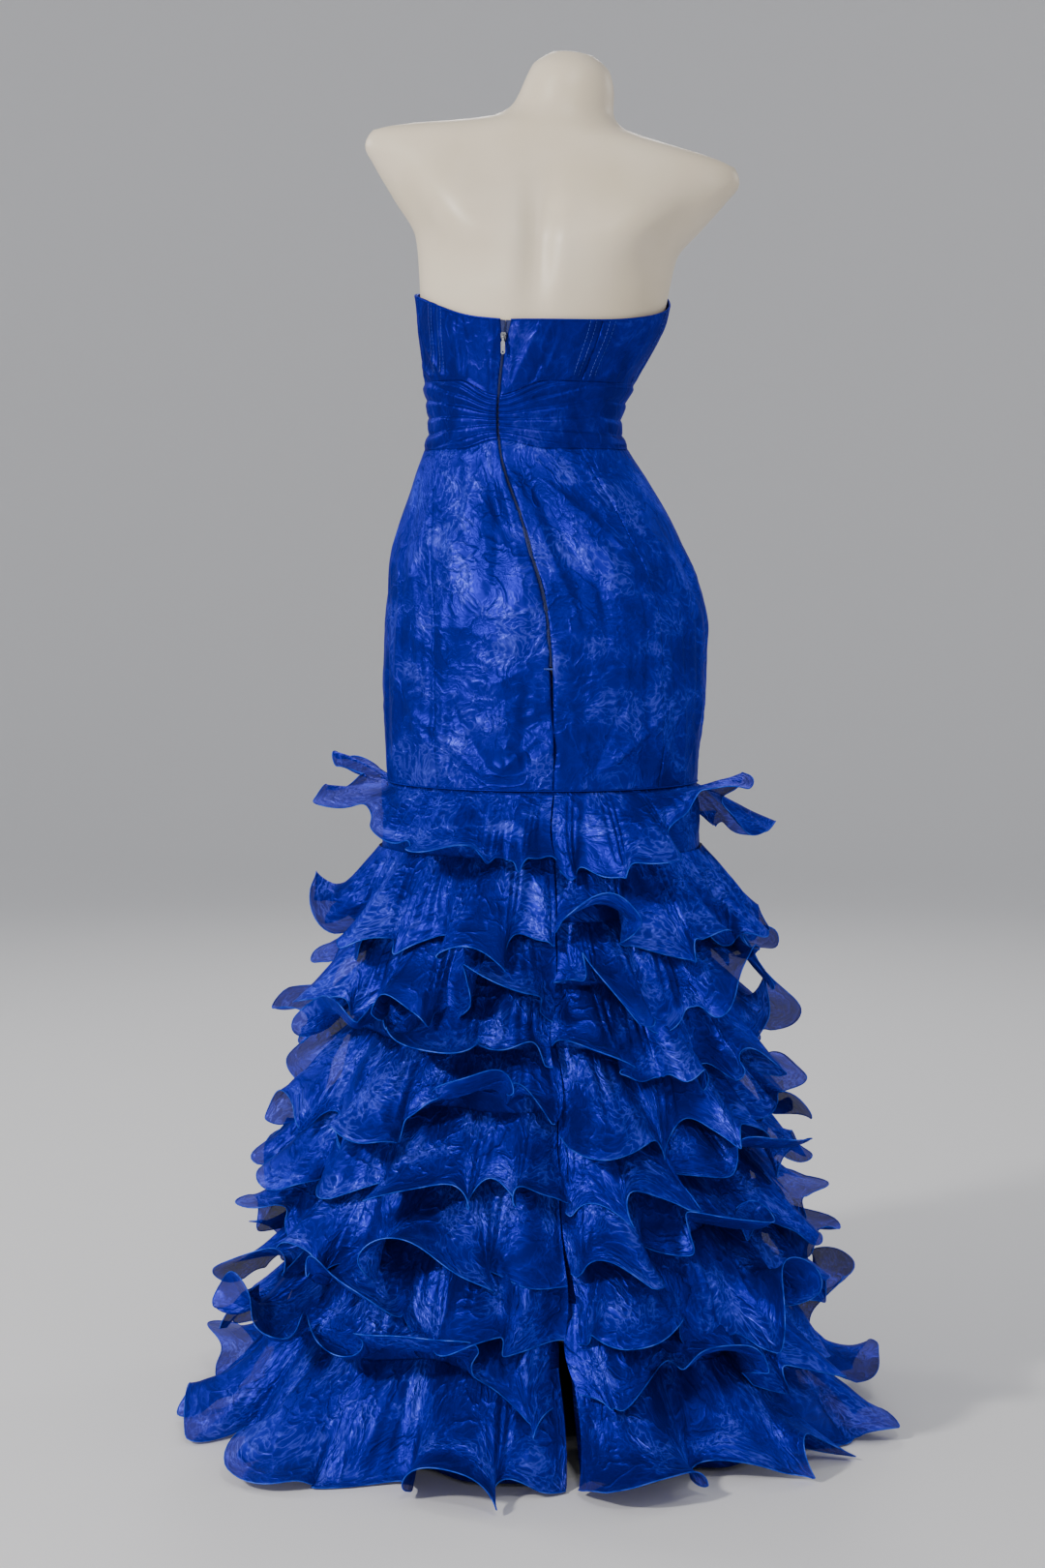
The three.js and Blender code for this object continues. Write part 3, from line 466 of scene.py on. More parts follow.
def fitted_panel(name, cut_from, cut_to, high, low, relief, rows, material):
    """One panel of the fitted gown on its node's form, with its relief."""
    count = int((cut_to - cut_from) / PANEL_STEP) + 1
    share, v = np.meshgrid(np.linspace(0, 1, count), np.linspace(0, 1, rows))
    cut = cut_from + (cut_to - cut_from) * share
    z = high(cut) - SEAM_GAP / 2 + (low(cut) - high(cut) + SEAM_GAP) * v
    turn_in, turn_out = edge_turn(cut_from, z), edge_turn(cut_to, z)
    cut = cut_from + turn_in + (cut_to - cut_from - turn_in - turn_out) * share
    arc = np.radians(cut) * CUT_RADIUS["pattern"]
    edge = np.minimum(share, 1 - share) * (cut_to - cut_from)
    out = relief(cut, z, v, edge)
    uv = np.stack((arc * MM, z * MM), -1)
    piece = shell(name, gown_points(cut, z, out), gown_points(cut, z, out - CLOTH), uv, material)
    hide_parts(name)
    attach(piece, "gown")


# The sizes of the cloth's crinkles, and the depth of each as relief, in metres. Its glints are blue.
GLINT_TINT = (0.2, 0.3, 1, 1)
CRINKLE = {"bend": 0.05, "shift": 0.03, "tone": 0.06, "broad": 0.03, "fine": 0.008}
CRINKLE_DEPTH = {"broad": 0.0009, "fine": 0.0002}


def cloth_material(name, dark, mid, light, roughness, open_weave, crinkle, painted_glint_strength):
    """Organza: blue that shifts in tone at random, with crisp crinkles in the bump, and painted highlights
    in the colour along the crinkle ridges and on the fine wrinkles.
    """
    material, tree, shader = material_with(
        name, mid, roughness, Metallic=0.65, Sheen_Weight=0.05, Sheen_Roughness=0.4,
        Specular_IOR_Level=0.12, Alpha=open_weave)
    for glint in ("Sheen Tint", "Specular Tint"):
        shader.inputs[glint].default_value = GLINT_TINT
    cloth = tree.nodes.new("ShaderNodeUVMap")
    cloth.uv_map = "cloth"
    where = cloth.outputs["UV"]

    def noise(at, size, detail):
        node = add_node(tree, "ShaderNodeTexNoise", Vector=at, Scale=1 / size, Detail=detail)
        node.noise_dimensions = "2D"
        return node

    def maths(operation, *values):
        node = add_node(tree, "ShaderNodeMath", **{f"n{i}": value for i, value in enumerate(values)})
        node.operation = operation
        return node.outputs["Value"]

    def ridges(source, sharpness):
        """Thin ridges where a soft noise crosses its middle value."""
        off = maths("MULTIPLY", maths("ABSOLUTE", maths("SUBTRACT", source, 0.5)), 4)
        return maths("POWER", maths("MAXIMUM", maths("SUBTRACT", 1, off), 0), sharpness)

    bend = noise(where, CRINKLE["bend"], 1)
    shift = add_node(tree, "ShaderNodeVectorMath", n0=bend.outputs["Color"])
    shift.operation = "SCALE"
    shift.inputs["Scale"].default_value = CRINKLE["shift"]
    moved = add_node(tree, "ShaderNodeVectorMath", n0=where, n1=shift.outputs["Vector"]).outputs["Vector"]
    tone = noise(where, CRINKLE["tone"], 3).outputs["Fac"]
    crease_and_painted_highlight = ridges(noise(moved, CRINKLE["broad"], 2).outputs["Fac"], 5)
    wrinkle_and_painted_glint = ridges(noise(moved, CRINKLE["fine"], 2).outputs["Fac"], 3)
    # Painted glints: the fine wrinkle ridges are lighter in the colour, in patches where the tone is high,
    # scaled by a strength given for each cloth.
    glint_patches = add_node(tree, "ShaderNodeMapRange", Value=tone)
    for key, value in zip(("From Min", "From Max", "To Min", "To Max"), (0.38, 0.62, 0.25, 1)):
        glint_patches.inputs[key].default_value = value
    painted_glints = maths("MULTIPLY", maths("MULTIPLY", wrinkle_and_painted_glint, glint_patches.outputs["Result"]), painted_glint_strength)
    # Painted highlights: the colour is the random tone, made lighter along the broad crease ridges and by
    # the painted glints on the fine wrinkles. The same ridges are also the bump heights below.
    shade = maths("ADD", maths("ADD", maths("MULTIPLY", tone, 0.75), maths("MULTIPLY", crease_and_painted_highlight, 0.14)), painted_glints)
    color = ramp(tree, shade, [(0.3, dark), (0.55, mid), (0.95, light)])
    tree.links.new(color, shader.inputs["Base Color"])
    under = {}
    for height, kind in ((crease_and_painted_highlight, "broad"), (wrinkle_and_painted_glint, "fine")):
        depth = CRINKLE_DEPTH[kind] * crinkle
        bump = add_node(tree, "ShaderNodeBump", Height=height, Strength=1, Distance=depth, **under)
        under = {"Normal": bump.outputs["Normal"]}
    tree.links.new(under["Normal"], shader.inputs["Normal"])
    return material


# For each cloth, the last number sets how strong its painted glints are.
organza = cloth_material(
    "organza_over_satin", (0.008, 0.008, 0.22), (0.013, 0.012, 0.33), (0.065, 0.078, 0.7),
    roughness=0.44, open_weave=1, crinkle=1, painted_glint_strength=0.3)
bodice_organza = cloth_material(
    "bodice_organza", (0.008, 0.006, 0.17), (0.012, 0.009, 0.26), (0.05, 0.052, 0.54),
    roughness=0.42, open_weave=1, crinkle=0.4, painted_glint_strength=0.13)

# The bodice: seven boned panels with princess seams and a turned neckline. The bones show as narrow
# ridges, and the cloth drags from them to the pinch at the waist.
BODICE_FOLDS = columns("cut0 z0 cut1 z1 width depth", [
    (29, 1226, 23, 1152, 3.2, 1.6), (20, 1222, 12, 1150, 4.5, -1.4), (64, 1222, 30, 1158, 5, 1.5),
    (70, 1186, 20, 1152, 4, 1.6), (-15, 1222, -5, 1150, 5, 1.8), (-24, 1222, -14, 1150, 4, -1.5),
    (-45, 1220, -30, 1150, 4, 1.6), (-64, 1214, -48, 1158, 4, -1.3), (-74, 1190, -30, 1156, 5, 1.6),
    (8, 1214, 3, 1160, 3, 1.3), (96, 1230, 84, 1180, 7, -1.4), (-98, 1232, -86, 1178, 7, -1.4),
    (118, 1190, 140, 1236, 8, 1.2), (-120, 1192, -142, 1230, 8, 1.2), (160, 1200, 176, 1250, 9, -1.2),
    (-165, 1188, -150, 1215, 8, 1.1), (172, 1184, 186, 1206, 7, 1.2),
])
RELIEF = {"lowest": -1.2, "seams": 0.3, "sewn": 14}
BONES = {"height": 1.3, "in": 4.5, "width": 1.2}
MIDDLE_FOLD = {"height": 1.3, "in": 20, "sway": 1.5, "width": 1.1}
BODICE_SEAM = {"depth": 1.1, "width": 1.1}
FLARE = {"out": 3, "sides": ((78, 26, 1), (-76, 24, 0.6))}
BODICE_CRUSH = {"depth": 0.9, "size": 20, "top_share": 0.4}


def bodice_relief(cut, z, v, edge):
    """Bone channels beside each seam, drawn folds, and a top edge that stands off at the sides."""
    arc = np.radians(cut) * CUT_RADIUS["bodice"]
    bones = BONES["height"] * line(edge - BONES["in"], BONES["width"])
    seam = -BODICE_SEAM["depth"] * line(edge, BODICE_SEAM["width"])
    middle = edge - MIDDLE_FOLD["in"] - MIDDLE_FOLD["sway"] * np.sin(z / 14)
    middle = MIDDLE_FOLD["height"] * line(middle, MIDDLE_FOLD["width"])
    sides = sum(share * hump(turn_between(cut, angle), width) for angle, width, share in FLARE["sides"])
    flare = FLARE["out"] * np.clip(1 - 3 * v, 0, 1) ** 2 * sides
    crushed = BODICE_CRUSH["depth"] * crush(arc, 0.5 * z, BODICE_CRUSH["size"], 0)
    drawn = 1.7 * folds(BODICE_FOLDS, cut, z) + crushed * (1 - (1 - BODICE_CRUSH["top_share"]) * (1 - v))
    sewn = np.clip(RELIEF["sewn"] * (1 - v), 0, 1)
    return np.maximum(sewn * (bones + seam + middle + flare + drawn), RELIEF["lowest"]) + RELIEF["seams"]


for name, cut_from, cut_to, flat in (
    ("bodice_centre_back_left", 0, 44, (0.096, 0.086)), ("bodice_side_back_left", 44, 92, (0.092, 0.098)),
    ("bodice_side_front_left", 92, 152, (0.135, 0.14)), ("bodice_centre_front", 152, 208, (0.15, 0.14)),
    ("bodice_side_front_right", 208, 268, (0.145, 0.14)),
    ("bodice_side_back_right", 268, 316, (0.102, 0.098)),
    ("bodice_centre_back_right", 316, 360, (0.102, 0.086)),
):
    fitted_panel(name, cut_from, cut_to, neckline, waist_high, bodice_relief, 60, bodice_organza)

# The waist band: organza folded into long pleats that lie over each other and run level round the
# waist. They draw together at the centre back.
PLEATS = {"count": 4, "height": 2.592, "crown": 0.35, "level": 0.62}
WAIST_CRUSH = {"depth": 0.7, "size": 24}
WAIST_FOLDS = columns("cut0 z0 cut1 z1 width depth", [
    (66, 1160, 6, 1128, 3, 1.8), (70, 1138, 4, 1120, 2.6, 1.6), (66, 1118, 8, 1114, 2.6, 1.6),
    (-74, 1156, -18, 1130, 3, 1.8), (-76, 1134, -16, 1121, 2.6, 1.5), (-70, 1112, -18, 1113, 2.6, 1.5),
    (-62, 1100, -14, 1108, 3, 1.4), (120, 1150, 175, 1140, 4, 1.2), (-125, 1124, -170, 1132, 4, 1.2),
])


def waist_relief(cut, z, v, edge):
    """Level pleats that sway a little and draw together at the centre back, with crushed cloth on them."""
    sway = 0.16 * np.sin(np.radians(2 * cut) + 1) + 0.1 * np.sin(np.radians(5 * cut))
    drawn = 1 + 0.9 * hump(turn_between(cut, 0), 62)
    place = (v - PLEATS["level"]) * drawn + PLEATS["level"]
    place = (place * PLEATS["count"] + sway * np.sin(np.pi * v)) % 1
    crown = PLEATS["crown"]
    fold = np.where(place < crown, place / crown, (1 - place) / (1 - crown))
    sewn = np.minimum(1, RELIEF["sewn"] * np.minimum(v, 1 - v))
    pleats = PLEATS["height"] * np.sin(np.pi / 2 * np.clip(fold, 0, 1)) ** 0.8
    crushed = crush(np.radians(cut) * CUT_RADIUS["waist"], z * 2.2, WAIST_CRUSH["size"], 2)
    creases = WAIST_CRUSH["depth"] * crushed + 0.8 * folds(WAIST_FOLDS, cut, z)
    return np.maximum(sewn * (pleats + creases), RELIEF["lowest"]) + RELIEF["seams"]


for name, cut_from, cut_to, flat in (
    ("waist_back_left", 0, 92, (0.16, 0.1)), ("waist_front", 92, 268, (0.33, 0.11)),
    ("waist_back_right", 268, 360, (0.18, 0.1)),
):
    fitted_panel(name, cut_from, cut_to, waist_high, waist_low, waist_relief, 64, bodice_organza)

# The fitted skirt: five panels to the knee seam. Folds fan out below the pinch, and crisp V-shaped
# creases stand above the knee seam, where the weight of the ruffles pulls at it.
SKIRT_HUMPS = columns("angle width depth z height", [
    (10, 8, -5, 1010, 90), (-12, 9, -7, 990, 120), (27, 12, 4, 960, 90), (-34, 12, 5, 930, 110),
    (52, 12, -4, 860, 120), (-58, 12, -4, 880, 110), (82, 14, 4, 990, 80), (-84, 14, 4, 950, 90),
    (118, 14, -4, 900, 110), (-122, 14, -4, 870, 110), (152, 14, 3, 940, 110), (-150, 14, 3, 900, 110),
    (8, 10, -5, 790, 60), (-16, 10, -5, 780, 60),
])
SKIRT_FOLDS = columns("cut0 z0 cut1 z1 width depth", [
    (0, 1100, -44, 965, 6, 3.4), (-4, 1096, -22, 930, 6, -3.2), (-2, 1092, -12, 880, 6, 2.4),
    (4, 1098, 34, 985, 7, 3), (3, 1090, 18, 930, 6, -2.8), (2, 1080, 8, 900, 5, 2.2),
    (40, 1080, 60, 930, 8, 2.4), (-42, 1078, -70, 940, 8, 2.6), (62, 1060, 72, 900, 9, -2.4),
    (-70, 1050, -84, 890, 9, -2.4), (30, 1000, 44, 880, 6, 2), (-30, 980, -20, 850, 6, 2),
    (41, 960, 41, 745, 6, 2.6), (48, 975, 48, 760, 5, -2.4), (57, 985, 56, 740, 6, 2.6),
    (64, 950, 65, 745, 5, -2.2), (71, 1000, 71, 745, 6, 2.4), (80, 960, 80, 750, 6, -2.2),
    (-22, 960, -20, 800, 5, -2.2), (-30, 985, -28, 770, 6, 2.6), (-38, 960, -38, 745, 5, -2.4),
    (-46, 985, -45, 745, 6, 2.6), (-54, 960, -53, 750, 5, -2.2), (-62, 990, -60, 745, 6, 2.4),
    (-72, 950, -71, 745, 6, -2.2), (22, 738, 56, 812, 5, 2.8), (22, 738, 42, 845, 5, -2.4),
    (20, 740, 4, 790, 5, 2.8), (16, 745, 18, 870, 4, 2), (-14, 738, -52, 822, 5, 3),
    (-14, 738, -30, 850, 5, -2.4), (-14, 742, 0, 800, 4, 2.2), (-10, 745, -14, 850, 4, 2),
    (-58, 740, -30, 800, 6, 2), (-62, 742, -82, 840, 6, 2), (40, 745, 58, 815, 5, 2.4),
    (40, 745, 34, 850, 5, -2), (60, 900, 30, 850, 5, 1.8), (-20, 900, -50, 870, 5, 1.8),
    (12, 880, 36, 905, 5, 1.8), (6, 860, 24, 835, 4, 2), (10, 835, 30, 800, 4, -2),
    (4, 812, 22, 790, 4, 1.8), (100, 1070, 112, 900, 9, 2), (-102, 1070, -112, 910, 9, 2),
    (130, 1080, 136, 860, 9, -2), (-134, 1084, -140, 870, 9, -2), (165, 1080, 158, 900, 9, 2),
    (-168, 1080, -160, 890, 9, 2), (95, 980, 97, 750, 6, 2.2), (106, 940, 107, 745, 6, -2),
    (118, 990, 119, 745, 6, 2.2), (-96, 980, -97, 750, 6, 2.2), (-108, 940, -107, 745, 6, -2),
    (-120, 990, -121, 745, 6, 2.2), (110, 740, 136, 830, 6, 2), (150, 740, 122, 840, 6, 2),
    (180, 740, 160, 830, 6, 2), (180, 742, 204, 840, 6, 2), (-150, 742, -120, 832, 6, 2),
    (-110, 742, -135, 836, 6, 2), (150, 985, 150, 760, 7, 2), (-152, 975, -151, 755, 7, 2),
])
SKIRT_SEAM = {"depth": 0.9, "width": 0.7}
SKIRT_CRUSH = ({"depth": 5, "size": 26, "tall": 0.45}, {"depth": 1.8, "size": 15, "tall": 0.8})
SKIRT_BASE = 0.6
SKIRT_LOWEST = {"z": 1106, "at": -2.2, "slope": 0.055}


def skirt_relief(cut, z, v, edge):
    """Broad swells, folds that fan from the pinch and the knee seam, and crushed cloth between them."""
    arc = np.radians(cut) * CUT_RADIUS["skirt"]
    broad = 0
    for angle, width, depth, middle, height in rows_of(SKIRT_HUMPS):
        broad = broad + depth * hump(turn_between(cut, angle), width) * hump(z - middle, height)
    seam = -SKIRT_SEAM["depth"] * line(edge, SKIRT_SEAM["width"])
    free = np.clip(np.minimum(4 * v, 12 * (1 - v)) + 0.15, 0, 1)
    large, fine = SKIRT_CRUSH
    crushed = large["depth"] * crush(arc, large["tall"] * z, large["size"], 0)
    crushed = crushed + fine["depth"] * crush(arc + 40, fine["tall"] * z, fine["size"], 2)
    back = 0.35 + 0.65 * hump(turn_between(cut, 8), 60)
    pulled = 1 + 0.5 * hump(z - KNEE_SEAM, 110)
    creases = 1.2 * pulled * folds(SKIRT_FOLDS, cut, z) + crushed * back * (0.6 + 0.4 * v)
    lowest = SKIRT_LOWEST["slope"] * (z - SKIRT_LOWEST["z"]) + SKIRT_LOWEST["at"]
    return np.maximum(broad + seam + free * creases + SKIRT_BASE, lowest)


for name, cut_from, cut_to, flat in (
    ("skirt_centre_back_left", 0, 44, (0.145, 0.39)), ("skirt_side_back_left", 44, 92, (0.14, 0.39)),
    ("skirt_front", 92, 268, (0.5, 0.39)), ("skirt_side_back_right", 268, 316, (0.14, 0.39)),
    ("skirt_centre_back_right", 316, 360, (0.145, 0.39)),
):
    fitted_panel(name, cut_from, cut_to, waist_low, knee, skirt_relief, 170, organza)

# The lower skirt: a flared satin-backed skirt in a front and two backs, which carries the ruffles.
# It hangs in deep flutes, and its centre-back seam is open below the knee as a slit.
LOWER = columns("z side back front power flute", [
    (5, 316, 292, 264, 2.3, 1), (150, 274, 255, 235, 2.2, 0.8), (300, 243, 224, 205, 2.15, 0.58),
    (450, 211, 194, 175, 2.1, 0.34), (600, 186, 168, 150, 2.05, 0.12), (725, 175, 150, 135, 2, 0),
])
FLUTES = columns("angle width depth", [
    (0, 10, 26), (31, 13, 36), (66, 14, 24), (99, 13, 32), (134, 16, 26), (171, 14, 34),
    (207, 16, 24), (243, 13, 33), (277, 14, 25), (311, 13, 32), (336, 10, 26),
])
SLIT = {"top": 250, "open": 22}


def lower_points(cut, z, out):
    """Points of the lower skirt at cut angles and heights, moved out by a distance."""
    side, back, front, power, flute = (
        np.interp(z, LOWER["z"], LOWER[k]) for k in ("side", "back", "front", "power", "flute"))
    hollow = 0
    for angle, width, depth in rows_of(FLUTES):
        hollow = hollow + depth * hump(turn_between(cut, angle), width)
    return np.stack(oval((side, back, front, power), figure_angle(cut, z), z, out - hollow * flute), -1)


def slit_turn(z, extra):
    """Half the slit at the centre back in degrees, opened by an extra width in millimetres."""
    opening = SLIT["open"] * np.clip(1 - z / SLIT["top"], 0, 1)
    return np.degrees((SEAM_GAP + extra + opening) / 2 / np.interp(z, LOWER["z"], LOWER["back"]))


def lower_edge(cut, z):
    """Half the gap to the next lower panel in degrees: the slit at the centre back, or a seam."""
    return slit_turn(z, 0) if cut % 360 == 0 else np.degrees(SEAM_GAP / 2 / read(GOWN, "side", z))


LOWER_STEP, LOWER_ROWS = 1.6, 50
LOWER_GATHERS = {"depth": 2.6, "pace": 7.5, "z": 690, "height": 30}
for name, cut_from, cut_to, flat in (
    ("lower_back_left", 0, 102, (0.62, 0.76)), ("lower_front", 102, 258, (0.95, 0.76)),
    ("lower_back_right", 258, 360, (0.62, 0.76)),
):
    count = int((cut_to - cut_from) / LOWER_STEP) + 1
    share, v = np.meshgrid(np.linspace(0, 1, count), np.linspace(0, 1, LOWER_ROWS))
    z = KNEE_SEAM - SEAM_GAP / 2 + (LOWER["z"][0] - KNEE_SEAM + SEAM_GAP / 2) * v
    turn_in, turn_out = lower_edge(cut_from, z), lower_edge(cut_to, z)
    cut = cut_from + turn_in + (cut_to - cut_from - turn_in - turn_out) * share
    arc = np.radians(cut) * np.interp(z, LOWER["z"], LOWER["side"])
    bunched = np.abs(np.sin(arc / LOWER_GATHERS["pace"] + 2.5 * crinkle_noise(arc / 40, z / 60, 3)))
    gathers = LOWER_GATHERS["depth"] * bunched * hump(z - LOWER_GATHERS["z"], LOWER_GATHERS["height"])
    out = -0.4 + gathers - 0.3 * crush(arc, z, 50, 4) ** 2
    uv = np.stack((arc * MM, z * MM), -1)
    piece = shell(name, lower_points(cut, z, out), lower_points(cut, z, out - CLOTH), uv, organza)
    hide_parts(name)
    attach(piece, "gown")

# The ruffles: ten long strips of single organza, gathered along the top to little more than half their
# length, the first one to three quarters, and sewn round the lower skirt from the centre-back seam to
# the centre-back seam. The lobes differ in size, and some flip up.
RUFFLES = columns("seam drop reach swing waves phase length", [
    (721, 84, 46, 20, 11, 40, 1.36), (652, 96, 48, 20, 12, 190, 1.8), (585, 97, 50, 21, 12, 300, 1.9),
    (518, 98, 51, 22, 12, 95, 2.0), (451, 98, 52, 22, 12, 230, 2.15), (384, 99, 53, 22, 12, 10, 2.25),
    (317, 100, 54, 23, 12, 150, 2.4), (250, 100, 55, 23, 12, 265, 2.5), (183, 100, 56, 23, 12, 60, 2.65),
    (116, 104, 62, 26, 12, 205, 3.0),
])
WINGS = columns("angle width lift reach", [
    (90, 62, 84, 14), (104, 18, 50, -12), (300, 40, 104, 16), (255, 22, 30, 32)])
RUFFLE_PROFILE = columns("share reach swing", [(0, 0, 0), (0.45, 0.47, 0.3), (1, 1, 1)])
RUFFLE_SEAT = {"top": 1.6, "middle": 2.3, "hem": 2.3}
RUFFLE_END = {"gap": 1.5, "angle": 11, "share": 0.4}
RUFFLE_AROUND, RUFFLE_ROWS = 700, 22
STRIP_DEPTH = 0.115
WING_TOP = 48
SLOW = {"times": 3, "degrees": 50}
QUICK = {"times": 5, "degrees": 30}
LOBE_LIFT = {"top": 0.16, "middle": 0.16, "hem": 0.27}
UNEVEN = {"drop": 0.34, "level": 0.4}
SMALL = {"top": 4, "middle": 9, "hem": 9, "swing": 0.42, "turn": 0.5}
RIPPLE = {"drop": 2.6, "swing": 2}
GATHER = 24
FLIP = {"lift": 0.68, "reach": 0.3, "turn": 4, "level": 0.4, "soft": 0.4}
FLIP_SHARE = {0: 0.4, 1: 0.7, 9: 0.45}
FACETS = {"per_lobe": 62, "size": 21, "sewn": 0.6, "free": 3.2, "top": 1, "middle": 1, "hem": 1.8}
HEM = {"fall": 16, "reach": 12, "radius": 0.7}
CURL = {"top": 0.675, "middle": 1.35, "hem": 1.35, "slowest": 7}
LINE_SWAY = {"turn": 1.6, "width": 24}
FLOOR = {"clear": 2.2, "from": 12, "softness": 10}
ruffle_organza = cloth_material(
    "ruffle_organza", (0.008, 0.008, 0.22), (0.014, 0.014, 0.39), (0.07, 0.085, 0.78),
    roughness=0.44, open_weave=0.94, crinkle=1.1, painted_glint_strength=0.42)
ruffle_hems = []
for i, (seam, drop, reach, swing, waves, phase, length) in enumerate(rows_of(RUFFLES)):
    tier = "top" if i == 0 else "hem" if i == len(RUFFLES["seam"]) - 1 else "middle"
    share, t = np.meshgrid(np.linspace(0, 1, RUFFLE_AROUND), np.linspace(0, 1, RUFFLE_ROWS))
    ends = slit_turn(seam - drop * t, RUFFLE_END["gap"])
    cut = ends + (360 - 2 * ends) * share
    fullness = 1 - (1 - RUFFLE_END["share"]) * hump(turn_between(cut, 0), RUFFLE_END["angle"])

    # The lobes run round at an uneven pace. Small waves and ripples ride on them out of step.
    slow, quick = np.radians(SLOW["times"] * cut + phase), np.radians(QUICK["times"] * cut - 2 * phase)
    theta = np.radians(
        waves * cut + phase + SLOW["degrees"] * np.sin(slow) + QUICK["degrees"] * np.sin(quick))
    pace = waves + math.pi / 180 * (
        SLOW["times"] * SLOW["degrees"] * np.cos(slow) + QUICK["times"] * QUICK["degrees"] * np.cos(quick))
    lobes = theta / (2 * math.pi)
    main = np.sin(theta)
    flip = crinkle_noise(1.7 * lobes + 11.3 * i, 7.1 * i + 0 * t, 5) - FLIP["level"]
    flip = np.clip(flip / FLIP["soft"], 0, 1) * FLIP_SHARE.get(i, 1)
    uneven = crinkle_noise(2 * lobes + 5.7 * i, 3.3 * i + 0 * t, 6)
    small = np.sin(2.37 * theta + 0.03 * phase) * (0.4 + 1.2 * crinkle_noise(lobes + 3 * i, 0.6 * t, 5))
    ripple = np.sin(5.1 * theta + phase) * crinkle_noise(1.7 * lobes + 5 * i, t + 9, 6)
    gathers = np.abs(np.sin(3.1 * theta + 2 * small)) * t * (1 - t) ** 1.2
    facets = (FACETS["sewn"] + FACETS["free"] * t) * FACETS[tier]
    facets = facets * crush(lobes * FACETS["per_lobe"] + 50 * i, t * drop, FACETS["size"], 4)

    # Wings of the top ruffle stand up at the sides, and the hem reaches the floor.
    fall, stand = drop + 0 * cut, reach + 0 * cut
    if tier == "top":
        for angle, width, lift, more in rows_of(WINGS):
            fall = fall - lift * hump(turn_between(cut, angle), width)
            stand = stand + more * hump(turn_between(cut, angle), width)
        fall = np.maximum(fall, -WING_TOP)
    if tier == "hem":
        fall = fall + HEM["fall"]
    out_share = read(RUFFLE_PROFILE, "reach", t, "share")
    wave_share = 0.75 * read(RUFFLE_PROFILE, "swing", t, "share") + 0.25 * t
    lifted = LOBE_LIFT[tier] * np.maximum(0, main) * wave_share + FLIP["lift"] * flip * fullness * t ** 2
    z = seam - fall * t * (1 - lifted + UNEVEN["drop"] * (uneven - UNEVEN["level"]) * t)
    z = z - SMALL[tier] * t * t * small * fullness + RIPPLE["drop"] * t ** 3 * ripple
    out = stand * out_share * (1 + FLIP["reach"] * flip * t)
    out = out + swing * wave_share * main * (0.75 + 0.7 * uneven) + SMALL["swing"] * swing * t * small
    out = out + RIPPLE["swing"] * t ** 3 * ripple + GATHER * gathers
    if tier == "hem":
        out = out + HEM["reach"] * t ** 4
    out = np.maximum(fullness * (out + facets), 0.5 * t) + RUFFLE_SEAT[tier]
    curl = CURL[tier] * 90 / math.pi / np.maximum(pace, CURL["slowest"])
    sideways = -curl * np.sin(2 * theta + 0.6) * t ** 1.4 * fullness
    sideways = sideways - (
        FLIP["turn"] * flip * np.cos(theta) * t ** 3 + SMALL["turn"] * small * t ** 2) * fullness
    sway = LINE_SWAY["turn"] * math.sin(2.4 * i + 1) * np.sin(np.pi * t)
    sideways = sideways + sway * hump(turn_between(cut, 0), LINE_SWAY["width"])
    strip = lower_points(cut + sideways, z, out)
    low = strip[..., 2] < FLOOR["from"]
    sunk = (strip[..., 2][low] - FLOOR["from"]) / FLOOR["softness"]
    strip[..., 2][low] = FLOOR["clear"] + (FLOOR["from"] - FLOOR["clear"]) * np.exp(sunk)

    name = f"ruffle_{i + 1:02d}"
    uv = np.stack((share * length, t * STRIP_DEPTH + 0.3 * i), -1).reshape(-1, 2)
    piece = mesh_piece(
        name, strip.reshape(-1, 3), grid_faces(RUFFLE_ROWS, RUFFLE_AROUND), ruffle_organza, uv)
    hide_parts(name)
    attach(piece, "gown")
    ruffle_hems.append((piece, name, length, strip[-1]))

# Rolled edges: the free edge of each ruffle is rolled thin round a thread and whipped over, so it stands
# as a fine cord along the cloth, a little brighter than the cloth.
rolled_edge, tree, shader = material_with(
    "rolled_edge", (0.02, 0.06, 0.55), 0.5, Metallic=0.5, Specular_IOR_Level=0.15)
shader.inputs["Specular Tint"].default_value = GLINT_TINT
mottled(tree, shader, soft_noise(tree, 60, 3), [
    (0.35, (0.008, 0.025, 0.36)), (0.5, (0.025, 0.07, 0.62)), (0.68, (0.07, 0.16, 0.85))])
grained(tree, shader, soft_noise(tree, 1400, 1), 0.4, 0.0004)


def curve_tree(name, sockets):
    """A Geometry Nodes tree with a geometry input and output and these named number inputs."""
    tree = bpy.data.node_groups.new(name, "GeometryNodeTree")
    tree.interface.new_socket("Geometry", in_out="INPUT", socket_type="NodeSocketGeometry")
    for label, kind, value in sockets:
        tree.interface.new_socket(label, in_out="INPUT", socket_type=kind).default_value = value
    tree.interface.new_socket("Geometry", in_out="OUTPUT", socket_type="NodeSocketGeometry")
    return tree, tree.nodes.new("NodeGroupInput"), tree.nodes.new("NodeGroupOutput")


def geometry_nodes(tree, *kinds):
    """New Geometry Nodes of these kinds, in this order."""
    return [tree.nodes.new("GeometryNode" + kind) for kind in kinds]


def joined(tree, *links):
    """Joins nodes of a tree, each link as a node, its output, the next node and its input."""
    for source, output, target, entry in links:
        tree.links.new(source.outputs[output], target.inputs[entry])


